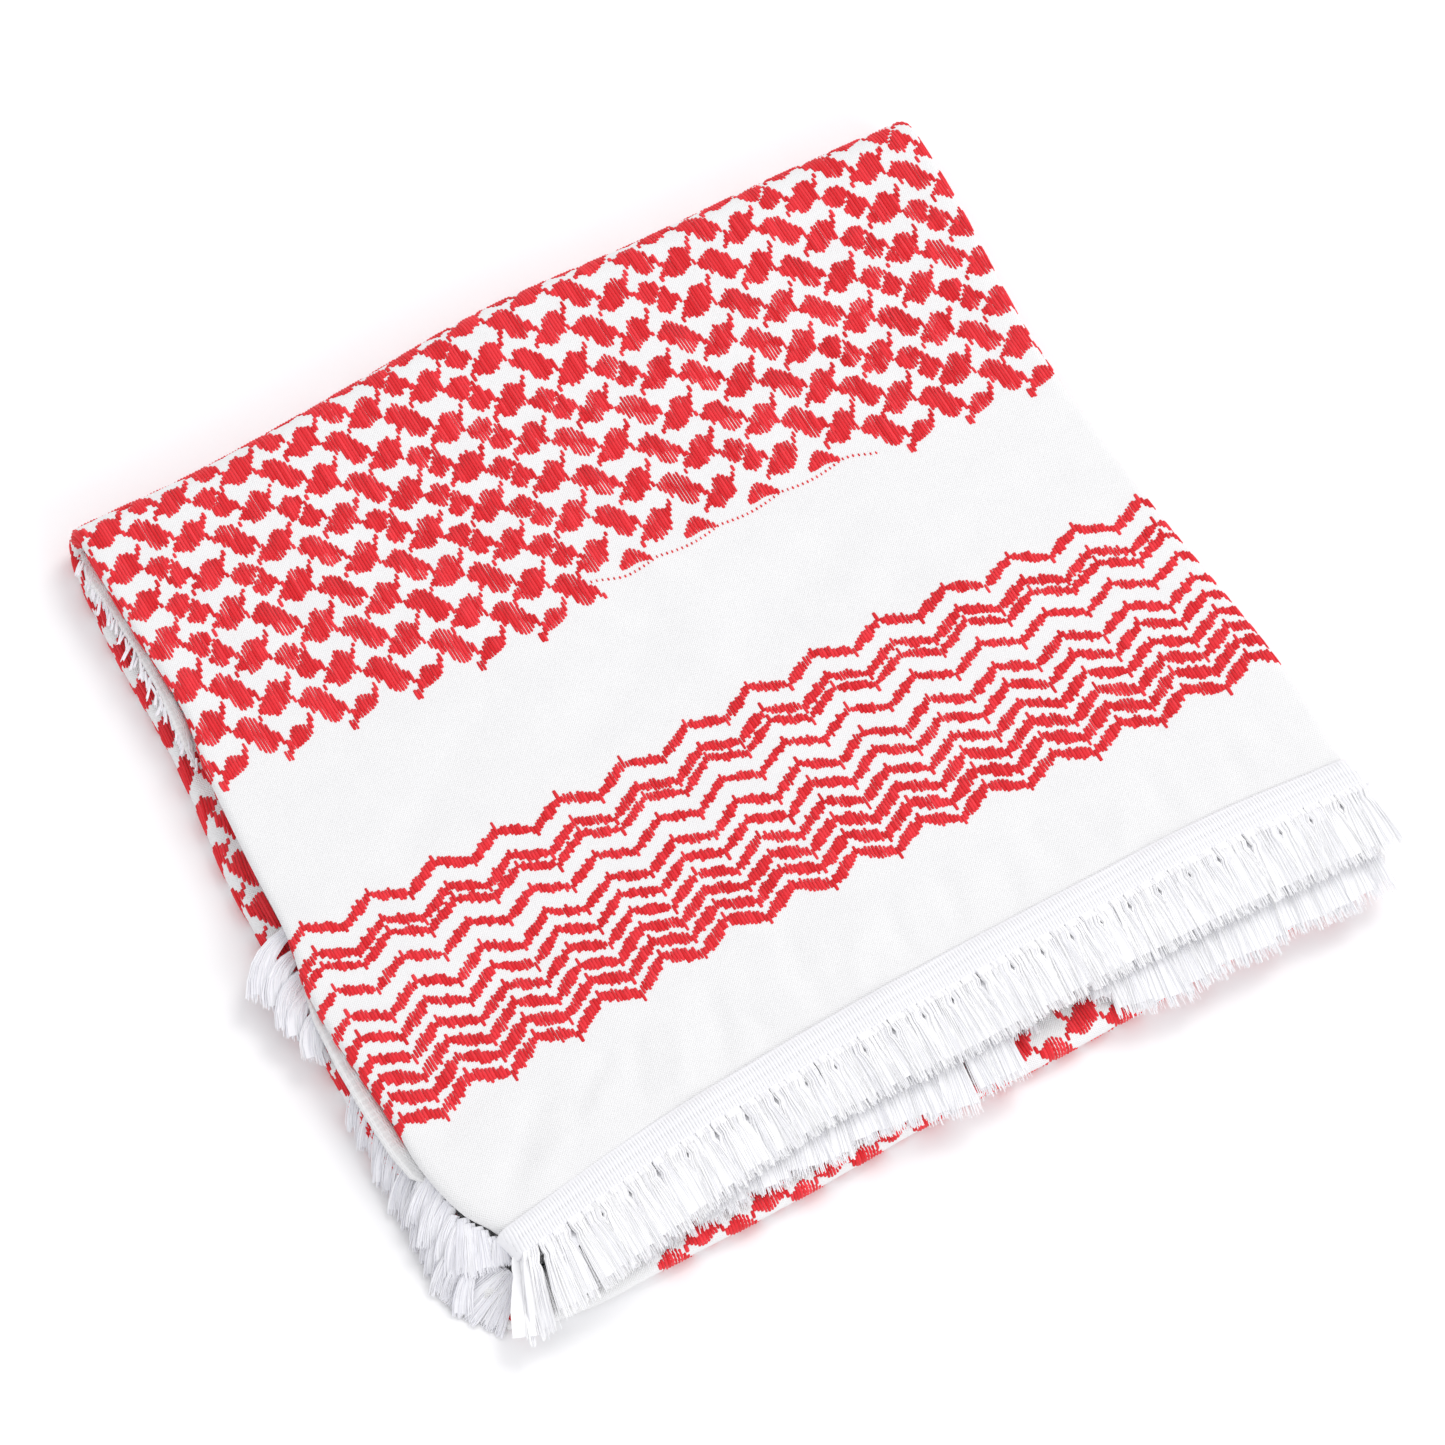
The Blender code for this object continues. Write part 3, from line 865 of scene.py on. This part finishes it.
# %% [markdown]
# The net
# The rest of the scarf carries a net of small leaf shapes that lean one way and the other in
# turn, with single threads that step from leaf to leaf. Charts give the leaves, thread by
# thread: how far each float reaches below and above the leaf's middle. Some of the leaves that
# lean left are split in two along their length, so there is a second chart for them. Leaves
# that are cut short and a thin scalloped line of dots close the field at its border.

# %% The net's charts
THREAD_PITCH = 1.04
NET_ROW = 15.75
NET_COLUMN_RANGE = range(-2, 15)
SPLIT_SHARE = 0.4
# rows of thread, low and high: the leaf that leans right, then its single threads
LEANS_RIGHT = (
    (-6, -5, -4, -3, -2, -1, 0, 1, 2, 3, 4, 5, -7, 6, 7),
    (-2.6, -3.2, -3.9, -4.9, -5.3, -5.3, -4.9, -4.3, -3.4, -3.3, -2.4, 0.8, -4.6, 2.4, 4.4),
    (-0.8, 0.2, 0.9, 1.6, 2.7, 4.2, 5.3, 5.8, 5.8, 5.4, 4.6, 3.6, -2.3, 4.9, 6.4),
)
LEANS_LEFT = (
    (-5, -4, -3, -2, -1, 0, 1, 2, 3, 4, 5, 6, -6, 7),
    (1.8, 1.0, -1.6, -1.2, -5.0, -6.4, -7.1, -7.2, -6.9, -6.0, -4.8, -6.2, 4.1, -7.4),
    (4.4, 4.8, 6.0, 6.6, 7.0, 7.0, 6.1, 5.4, 3.4, 2.0, -0.9, -1.8, 6.3, -5.4),
)
# The same leaf, split in two along its length
LEANS_LEFT_SPLIT = (
    (-6, -5, -4, -3, -2, -1, 0, 1, 2, -1, 0, 1, 2, 3, 4, 5, 6, 7),
    (4.1, 1.6, 0.4, -1.5, -1.8, -1.8, -0.7, 0.7, 2.3, -5.0, -6.4, -7.1, -7.2, -6.9, -6.0, -4.8, -6.2, -7.4),
    (6.3, 4.8, 5.2, 6.1, 6.8, 7.0, 6.9, 6.1, 5.4, -2.6, -1.5, -0.1, 1.5, 3.2, 2.0, -0.9, -1.8, -5.4),
)
# The field's first row, where the leaf is cut short, with a stub at its lower left
BORDER_LEAF = (
    (-6, -5, -4, -3, -2, -1, 0, 1, 2, 3, 4, 5, 6),
    (-5.2, -5.4, -3.6, -2.6, -2.8, -2.6, -2.4, -2.0, -1.8, -1.2, -0.6, 1.0, 3.0),
    (-2.0, -2.2, -1.0, 0.6, 2.0, 3.4, 4.0, 4.0, 3.6, 3.2, 2.6, 4.2, 5.8),
)
# The patch that stands over the scalloped line
BORDER_PATCH = (
    (-4, -3, -2, -1, 0, 1, 2, 3, 4, 5),
    (-2.4, -2.6, -2.6, -2.5, -2.4, -2.4, -2.6, -2.8, -3.2, -3.6),
    (-0.4, 0.8, 2.0, 3.0, 3.5, 3.5, 2.6, 1.4, 0.0, -1.8),
)
# wefts in front of the field's own: the middles of the cut leaves and of the patches
BORDER_ROW, PATCH_ROW = NET_FRONT - 14.2, NET_FRONT - 6.6
SCALLOPED_FROM, SCALLOPED_TO = 130.0, 232.0
SCALLOP_WEFT, SCALLOP_DIP, SCALLOP_MM, DOT_PITCH = 170.6, 1.3, 22.4, 1.7


def leaf(chart, column, middle, place=weft):
    """The spots of one leaf at a column of the net and a weft number."""
    thread, low, high = np.array(chart, float)
    x = column_x(NET_COLUMNS, "column", column, middle, NET_FRONT, NET_BACK) + thread * THREAD_PITCH
    return np.stack([x, place(middle + low, x), place(middle + high, x), 0 * x + FLOAT_WIDTH], -1)


def scallops():
    """The thin line that ends the field where no half leaves do."""
    x = np.arange(SCALLOPED_FROM, SCALLOPED_TO, DOT_PITCH)
    dip = SCALLOP_DIP * np.abs(np.sin((x - SCALLOPED_FROM) / SCALLOP_MM * np.pi))
    low = weft(SCALLOP_WEFT, x) - dip + 2.2 * ease((142 - x) / 12) - 2.6 * ease((x - 222) / 10)
    return np.stack([x, low, low + 0.5, 0 * x + 0.8], -1)


def net_spots(first_row, last_row):
    """Rows of the net. Row 0 is the first whole one behind the border."""
    random = np.random.default_rng(21)
    spots = []
    for row in range(first_row, last_row):
        for column in NET_COLUMN_RANGE:
            spots.append(leaf(LEANS_RIGHT, column, NET_FRONT + row * NET_ROW))
            chart = LEANS_LEFT_SPLIT if random.random() < SPLIT_SHARE else LEANS_LEFT
            spots.append(leaf(chart, column + 0.5, NET_FRONT + (row + 0.5) * NET_ROW))
    spots = np.concatenate(spots)
    spots[:, 1:3] += random.uniform(-ENDS_VARY, ENDS_VARY, (len(spots), 2))
    return spots


def border_spots():
    spots = [scallops()]
    for column in range(-1, 14):
        x = column_x(NET_COLUMNS, "column", column, NET_FRONT, NET_FRONT, NET_BACK)
        half = x + 11
        if x < SCALLOPED_FROM - 6 or x > SCALLOPED_TO:
            spots.append(leaf(BORDER_LEAF, column, BORDER_ROW))
        if SCALLOPED_FROM + 8 < half < SCALLOPED_TO - 12:
            spots.append(leaf(BORDER_PATCH, column + 0.44, PATCH_ROW))
        else:
            spots.append(leaf(LEANS_LEFT, column + 0.5, NET_FRONT - 0.5 * NET_ROW))
    return np.concatenate(spots)


# rows 4 to 7 lie on the bend at the back
LAST_TOP_ROW, LAST_BACK_ROW, LAST_ROW = 4, 8, 27
net_top = on_outer(np.concatenate([border_spots(), net_spots(0, LAST_TOP_ROW)]))
net_floats_top = lay_floats("net_floats_top", outer_point, net_top, 22)
net_back = on_outer(net_spots(LAST_TOP_ROW, LAST_BACK_ROW))
net_floats_back = lay_floats("net_floats_back", outer_point, net_back, 25, BENT)
net_under = on_outer(net_spots(LAST_BACK_ROW, LAST_ROW))
net_floats_under = lay_floats("net_floats_under", outer_point, net_under, 23)

# %% [markdown]
# The net on the front fold
# The fold under the tassels belongs to another layer, so its rows are out of step with those
# above, and near its left end a stretch of the cloth is plain.

# %% Front fold floats
FOLD_ROW_SHIFT = 350.0
FIRST_FOLD_ROW = 23.0
PLAIN_FROM, PLAIN_TO = -6.0, 36.0


def on_fold(number, x):
    """How far along the front fold a weft lies."""
    return number - FOLD_ROW_SHIFT - 2.0 * ease((150 - x) / 20)


def fold_spots():
    spots = []
    for column in range(-1, 14):
        for row in range(-1, 2):
            middle = FOLD_ROW_SHIFT + FIRST_FOLD_ROW + row * NET_ROW
            spots.append(leaf(LEANS_LEFT, column + 0.5, middle, on_fold))
            spots.append(leaf(LEANS_RIGHT, column, middle + NET_ROW / 2, on_fold))
    spots = np.concatenate(spots)
    x, low, high, _ = spots.T
    on_skin = (x > -11) & (x < 292) & (low > 0.5) & (high < 40)
    return spots[on_skin & ~((x > PLAIN_FROM) & (x < PLAIN_TO))]


net_floats_fold = lay_floats("net_floats_fold", front_fold_point, fold_spots(), 24, BENT)

# %% [markdown]
# The braid
# A ribbed tape, 9 mm wide, is sewn along the edge and turned under with it at both ends. Its
# ribs are a thread apart, so they are cheap to model: the grid is fine enough across for each
# rib to be a real ridge, and a slower wave along it suggests the two rows of stitching.

# %% Braid
RIB_MM, RIB_HEIGHT, STITCH_ROW_MM = 1.05, 0.5, 3.0
BRAID_MM = 1.1
SEWN_UNDER = 0.8  # how far the tape starts behind its visible edge


def edge_point(across, forward, lift):
    """The top sheet's section carried forward past the braid's edge, raised by lift."""
    x, h, _, _ = section(across, -forward, 0.0 * across)
    out = np.cos(np.clip((MID - h) / STRIP, 0, 1) * np.pi)
    y = cross("braid", x) - forward
    ripple = 0.3 * np.sin(x / 9.0) + 0.25 * np.sin(x / 5.3 + 1.0)
    h = h - droop(x, -forward) - INSET + out * (lift + ripple * (forward > 0))
    return np.stack([x, y, MID + h], -1)


def braid_point(across, forward):
    rib = 0.5 + 0.5 * np.cos(2 * np.pi * across / RIB_MM)
    row = 0.7 + 0.3 * np.cos(2 * np.pi * forward / STITCH_ROW_MM)
    hem = ease((forward + SEWN_UNDER) / 2.2) * ease((BRAID_WIDTH - forward) / 0.6)
    return edge_point(across, forward, -0.6 + 0.75 * hem + RIB_HEIGHT * rib * row * hem)


def braid_grid():
    t = np.arange(-22.0, 322.0, RIB_MM / 4)
    f = np.linspace(-SEWN_UNDER, BRAID_WIDTH, 15)
    t, f = np.meshgrid(t, f[::-1], indexing="ij")
    start, end, left_r = flat_part(-f, 0.0)
    low, high = start - (np.pi * left_r + FOLD_RETURN), end + ROUND_THE_RIGHT + FOLD_RETURN
    return np.clip(t, low, high), f


braid_across, braid_forward = braid_grid()
braid_mesh = shell_mesh("braid_tape", braid_point, braid_across, braid_forward)
braid_mesh.flip_normals()
braid = finish_piece("braid_tape", braid_mesh, braid_cotton, ("braid_front",))
solidify(braid, BRAID_MM)
print("braid:", len(braid.data.polygons), "quads")

# %% [markdown]
# Yarn
# A tassel is a bundle of loose strands. Each strand is a thin three-sided tube along a few
# points, tapered to its tip, and all strands of a fringe are one joined mesh from arrays. A
# fatter tube inside each bundle keeps light from passing through.

# %% Tubes from arrays


def tubes(paths, wide, high, sides, tint):
    """Points, faces, map and tint of closed tubes. paths is (tubes, stations, 3), in mm;
    wide and high are the half widths at each station, level and upright."""
    count, stations = paths.shape[:2]
    ahead = np.gradient(paths, axis=1)
    ahead /= np.maximum(np.linalg.norm(ahead, axis=-1, keepdims=True), 1e-9)
    level = np.cross(ahead, [0.0, 0.0, 1.0])
    level /= np.maximum(np.linalg.norm(level, axis=-1, keepdims=True), 1e-9)
    upright = np.cross(level, ahead)
    turn = np.arange(sides) / sides * 2 * np.pi + np.pi / 2
    ring = (
        level[:, :, None] * (np.cos(turn)[None, None] * wide[..., None])[..., None]
        + upright[:, :, None] * (np.sin(turn)[None, None] * high[..., None])[..., None]
    )
    points = (paths[:, :, None] + ring).reshape(-1, 3)
    station, corner = np.meshgrid(np.arange(stations - 1), np.arange(sides), indexing="ij")
    here = station * sides + corner
    beside = station * sides + (corner + 1) % sides
    walls = np.stack([here, here + sides, beside + sides, beside], -1).reshape(-1, 4)
    walls = np.concatenate([walls[:, [0, 1, 2]], walls[:, [0, 2, 3]]])
    fan = np.array([[0, k, k + 1] for k in range(1, sides - 1)])
    ends = np.concatenate([fan, fan[:, ::-1] + (stations - 1) * sides])
    one = np.concatenate([walls, ends])
    faces = (one[None] + np.arange(count)[:, None, None] * stations * sides).reshape(-1, 3)
    run = np.linspace(0, 20, stations)
    uv = np.stack(np.broadcast_arrays(turn[None, None] * wide.max(), run[None, :, None]), -1)
    uv = np.broadcast_to(uv, (count, stations, sides, 2)).reshape(-1, 2)
    return points, faces, uv, np.repeat(tint, stations * sides)


def yarn_piece(name, parts, nodes=()):
    """One object from several sets of tubes."""
    offset, faces = 0, []
    for points, part_faces, _, _ in parts:
        faces.append(part_faces + offset)
        offset += len(points)
    points, uv, tint = (np.concatenate([p[k] for p in parts]) for k in (0, 2, 3))
    mesh = array_mesh(name, points, np.concatenate(faces), uv, tint)
    piece = finish_piece(name, mesh, tassel_yarn, nodes, smooth=False)
    print(name, sum(len(f) for f in faces), "triangles")
    return piece


# %% [markdown]
# The tassels under the braid
# Each tassel leaves the braid as two plump legs, either side of a small nick. They bulge into
# a rounded head, draw in where a dark gap shows between neighbours, and fan out to a ragged
# end about 30 mm below the braid's upper edge. One short table gives a leg's route.

# %% Front fringe
TASSEL_PITCH = 10.5
FIRST_TASSEL, LAST_TASSEL = 1.4, 303.0
STRAND_MM, STRAND_FLAT = 0.25, 0.5
STRANDS_PER_LEG = 74
STRAND_SIDES, CORE_SIDES = 3, 6
# a flat tube behind the tassels' heads, so that no gap between them is empty
BACKING_FROM, BACKING_TO = 7.0, 302.0
BACKING_FORWARD, BACKING_LIFT, BACKING_WIDE, BACKING_HIGH = 14.0, -0.7, 3.2, 0.4
# per station: forward from the braid's edge, across from the tassel's middle, lift, and the
# bundle's half widths, level and upright
LEG_ROUTE = np.array(
    [
        (7.9, 2.2, -0.4, 2.0, 0.5),
        (9.6, 2.6, 0.8, 2.7, 0.9),
        (11.8, 2.6, 1.4, 2.8, 1.2),
        (14.0, 2.3, 0.7, 2.4, 0.9),
        (15.8, 2.6, 0.3, 2.9, 0.9),
        (23.0, 2.7, -1.2, 3.9, 0.8),
        (30.0, 2.8, -3.2, 4.2, 0.7),
    ]
)


def bundle(random, count):
    """Random places in a bundle's section, most of them near its skin."""
    angle = random.uniform(0, 2 * np.pi, count)
    far = random.uniform(0.55, 1.0, count)
    return (far * np.cos(angle))[:, None], (far * np.sin(angle))[:, None]


def front_leg(random, middle, hand):
    """One leg of a tassel: its strands' paths and widths, and its core's path and widths."""
    forward, across, lift, wide, high = LEG_ROUTE.T
    reach = float(cross("fringe_reach", middle))
    forward = np.where(forward > 16, 16 + (forward - 16) * (reach - 16) / 14, forward)
    loose = np.clip((forward - 14) / 16, 0, 1)
    core_x = middle + hand * across + random.normal(0, 0.5) * loose
    a, b = bundle(random, STRANDS_PER_LEG)
    ragged = 1 + random.uniform(-0.1, 0.05, (STRANDS_PER_LEG, 1)) * loose
    x = core_x + a * wide + random.normal(0, 0.35, (STRANDS_PER_LEG, 1)) * loose
    up = lift + b * high + random.normal(0, 0.12, (STRANDS_PER_LEG, 1))
    f = forward * ragged
    # at the front left corner the tassels lean out
    corner = ease((18 - middle) / 18) * np.clip((forward - 9) / 21, 0, 1)
    bent = corner[:, None] * np.array([-9.0 + 2.0 * hand, 0.0, -6.0])
    path = edge_point(x, f, up - 0.02 * f) + bent
    thick = random.uniform(0.85, 1.2, (STRANDS_PER_LEG, 1))
    width = STRAND_MM * np.linspace(1, 0.55, len(forward)) * thick
    core = edge_point(core_x[None], forward[None] * 0.93, lift[None] - 0.25) + bent
    return path, width, core, wide[None], high[None] * 0.7


def front_fringe():
    random = np.random.default_rng(31)
    legs = []
    for middle in np.arange(FIRST_TASSEL, LAST_TASSEL, TASSEL_PITCH):
        middle = middle + random.normal(0, 0.2)
        legs += [front_leg(random, middle, hand) for hand in (-1, 1)]
    paths, widths, cores, core_wide, core_high = (np.concatenate(kept) for kept in zip(*legs))
    tint = random.uniform(0.6, 1, len(paths))
    strands = tubes(paths, widths, widths * STRAND_FLAT, STRAND_SIDES, tint)
    inner = tubes(cores, core_wide, core_high, CORE_SIDES, np.full(len(cores), 0.8))
    x = np.linspace(BACKING_FROM, BACKING_TO, 70)
    even = np.ones_like(x)
    behind = edge_point(x, BACKING_FORWARD * even, BACKING_LIFT * even)
    wide, high = BACKING_WIDE * even, BACKING_HIGH * even
    backing = tubes(behind[None], wide[None], high[None], CORE_SIDES, np.array([0.6]))
    return strands, inner, backing


fringe_top = yarn_piece("fringe_front_yarn", front_fringe(), ("fringe_front",))

# %% [markdown]
# The other fringes
# The second fringe lies on the front fold and leans to the left. At the free left edges rows
# of tassels hang over the lower roll down to the table, a bunch of five curls out between the
# rolls further back, and short loose threads stand along the roll behind it. Each row is given
# by its first and last root and tip.

# %% Rows of hanging tassels
# tassels, strands in each, first and last root, first and last tip, width of the fan, height
# of the bulge, and how far the middle is bowed in x and y
HANGING = {
    "left_front": (
        (19, 66, (-14, -5, 8.8), (-12, 64, 9.6), (-22.5, -12, 1.2), (-20, 53, 3.0), 6.5, 2.6, -1, 1),
        (9, 70, (-9.2, 6, 12.4), (-10, 28, 13.0), (-19, -6, 6.0), (-18.5, 19, 7), 6.0, 2.0, -2, 1),
        (5, 90, (-6, -7, 8.2), (-2.4, -13, 7.4), (-23, -7, 1.4), (-15, -23, 1.0), 7.0, 1.2, 0, 0),
    ),
    "left_middle": (
        (5, 90, (-9, 90, 12.6), (-8, 118, 13.0), (-20, 80, 8.6), (-25, 104, 9.6), 7.5, 2.2, -4, 5),
        (52, 4, (-3, 263, 13.6), (-4.4, 184, 13.2), (-6, 259, 12.8), (-7, 180, 12.2), 0.9, 0.3, 0, 0),
    ),
    "corner": (
        (6, 76, (-8.6, 9, 13.2), (-2, -2, 13.2), (-16, -6, 9.4), (-3, -9, 9.8), 5.5, 0.6, 0, 0),
    ),
}
HANGING_STATIONS = np.linspace(0, 1, 6)
SECOND_FROM, SECOND_TO, SECOND_PITCH = 28.0, 297.0, 5.2
SECOND_TIPS = {
    "x": (20, 60, 100, 128, 138, 163, 168, 197, 206, 255, 300),
    "tip": (-28, -29, -30, -31.5, -34.5, -34.5, -24, -23, -35.5, -37.5, -37.5),
}


def bowed(start, middle, end):
    """Curves from start to end that are drawn toward the middle."""
    t = HANGING_STATIONS[None, :, None]
    return start * (1 - t) ** 2 + middle * 2 * t * (1 - t) + end * t * t


def hanging_row(random, tassels, strands, root0, root1, tip0, tip1, fan, bulge, bow_x=0, bow_y=0):
    """Strands that leave each root together, rise over a bulge and fan out at the tip, and
    a core for each tassel."""
    root0, root1, tip0, tip1 = (np.array(p, float) for p in (root0, root1, tip0, tip1))
    row = np.cross(tip0 - root0 + tip1 - root1, [0.0, 0.0, 1.0])
    row /= np.linalg.norm(row)
    lift = np.array([bow_x, bow_y, bulge])
    paths, cores = [], []
    for k in range(tassels):
        share = k / max(tassels - 1, 1)
        root = root0 + (root1 - root0) * share + random.normal(0, 0.4, 3) * (1, 1, 0.3)
        tip = tip0 + (tip1 - tip0) * share + random.normal(0, 1.0, 3) * (1, 1, 0.2)
        a, b = (v[..., None] for v in bundle(random, strands))
        start = root + row * a * 0.3 * fan + np.array([0, 0, 1.0]) * b * 0.8
        ragged = 1 + random.uniform(-0.1, 0.05, (strands, 1, 1))
        end = root + (tip - root) * ragged + row * a * fan / 2 * 1.2 + np.array([0, 0, 0.6]) * b
        middle = (start + end) / 2 + lift + random.normal(0, 0.3, (strands, 1, 3))
        paths.append(bowed(start, middle, end))
        inner = root + (tip - root) * 0.9
        cores.append(bowed(root, (root + inner) / 2 + lift, inner))
    wide = fan * np.array([0.22, 0.3, 0.36, 0.42, 0.48, 0.5]) * np.ones((tassels, 1))
    return np.concatenate(paths), np.concatenate(cores), wide


def yarn_rows(name, rows, random, nodes, painted_shade_tint):
    """One piece of yarn from several rows: the strands, and the cores that cast shadow on them."""
    paths, cores, wide = (np.concatenate(kept) for kept in zip(*rows))
    for routes, lowest in ((paths, 0.3), (cores, 0.6)):
        routes[..., 2] = np.maximum(routes[..., 2], lowest)
    width = STRAND_MM * np.linspace(1.05, 0.6, len(HANGING_STATIONS)) * np.ones((len(paths), 1))
    # the tint starts at the given level, below the front fringe's: painted shade for fringes in shadow
    tint = painted_shade_tint + random.uniform(0, 0.4, len(paths))
    strands = tubes(paths, width, width * STRAND_FLAT, STRAND_SIDES, tint)
    tint = np.full(len(cores), painted_shade_tint + 0.2)
    inner = tubes(cores, wide, np.full_like(wide, 0.45), CORE_SIDES, tint)
    return yarn_piece(name, [strands, inner], nodes)


def second_fringe():
    random = np.random.default_rng(41)
    rows = []
    for x in np.arange(SECOND_FROM, SECOND_TO, SECOND_PITCH):
        tip = float(line(SECOND_TIPS, "tip", "x", x))
        lean = 4.5 + random.normal(0, 0.8)
        root, end = (x, -9.0, 12.9), (x - lean, tip, 11.0 - 0.06 * (x > 200) * (x - 200) / 5)
        rows.append(hanging_row(random, 1, 58, root, root, end, end, 8.0, 0.6))
    # 0.5: the second fringe lies in the shadow of the first, so its yarn gets painted shade
    return yarn_rows("fringe_second_yarn", rows, random, ("fringe_second",), 0.5)


def hanging_fringe(name, key, nodes, seed):
    random = np.random.default_rng(seed)
    rows = [hanging_row(random, *row) for row in HANGING[key]]
    # 0.3: the rows on the left lie in deeper shadow, so their yarn gets darker painted shade
    return yarn_rows(name, rows, random, nodes, 0.3)


fringe_below = second_fringe()
fringe_left_front, fringe_left_middle, fringe_corner = (
    hanging_fringe(f"fringe_{key}_yarn", key, (f"fringe_{key}",), seed)
    for key, seed in (("left_front", 42), ("left_middle", 43), ("corner", 44))
)

# %% [markdown]
# Tucked edges
# Between the rolls on the left, the turned-in edge of the next layer shows as two narrow pale
# strips. Each is a soft flattened roll of plain cloth.

# %% Tucked edges
# x, y, z, half width, half height
TUCKED = np.array(
    [
        (
            (-12.0, 102, 13.0, 0.5, 0.4),
            (-13.6, 88, 13.8, 2.4, 1.3),
            (-14.6, 70, 13.9, 2.9, 1.5),
            (-14.6, 52, 13.8, 3.1, 1.5),
            (-14.0, 38, 13.4, 3.2, 1.4),
            (-12.8, 29, 13.0, 2.8, 1.2),
            (-11.8, 25, 12.8, 0.6, 0.4),
        ),
        (
            (-1.4, 266, 12.8, 0.6, 0.4),
            (-2.6, 256, 13.4, 2.6, 0.8),
            (-2.0, 242, 13.6, 1.9, 0.8),
            (-1.8, 226, 13.6, 1.8, 0.8),
            (-2.2, 210, 13.6, 1.9, 0.8),
            (-3.4, 196, 13.4, 2.3, 0.8),
            (-6.0, 182, 12.6, 0.6, 0.4),
        ),
    ]
)
strips = tubes(TUCKED[..., :3], TUCKED[..., 3], TUCKED[..., 4], 12, np.array([0.5, 0.5]))
tucked_mesh = array_mesh("tucked_edges", *strips)
tucked_edges = finish_piece("tucked_edges", tucked_mesh, white_cotton)
print("tucked edges:", len(tucked_mesh.polygons), "triangles")

# %% [markdown]
# Table, light and air
# The scarf lies on a plain white table. One large soft lamp high on the right makes short soft
# shadows on the left side, and a bright, slightly cool room fills them.

# %% Table and lights


def make_floor():
    bm = bmesh.new()
    bmesh.ops.create_grid(bm, x_segments=1, y_segments=1, size=3)
    mesh = mesh_from(bm, "table_top")
    look, _, shader = new_material("white_table", 0.9)
    shader.inputs["Base Color"].default_value = linear("#FCFCFD")
    mesh.materials.append(look)
    floor = bpy.data.objects.new("table_top", mesh)
    bpy.context.scene.collection.objects.link(floor)


def add_lamp(name, direction, distance, size, watts, colour):
    data = bpy.data.lights.new(name, "AREA")
    data.shape, data.size = "DISK", size
    data.energy, data.color = watts, linear(colour)[:3]
    lamp = bpy.data.objects.new(name, data)
    toward = Vector(direction).normalized()
    lamp.location = toward * distance
    lamp.rotation_euler = toward.to_track_quat("Z", "Y").to_euler()
    bpy.context.scene.collection.objects.link(lamp)


make_floor()
add_lamp("key_lamp", (0.7, 0.3, 1.0), 4.0, 1.8, 42.0, "#FFFDFA")
add_lamp("fill_lamp", (0.25, -1.0, 0.55), 4.0, 2.2, 34.0, "#FFFFFF")
world = bpy.data.worlds.new("room")
world.use_nodes = True
world.node_tree.nodes["Background"].inputs["Color"].default_value = linear("#FCFCFE")
world.node_tree.nodes["Background"].inputs["Strength"].default_value = 0.87
bpy.context.scene.world = world
bpy.context.scene.view_settings.view_transform = "Standard"
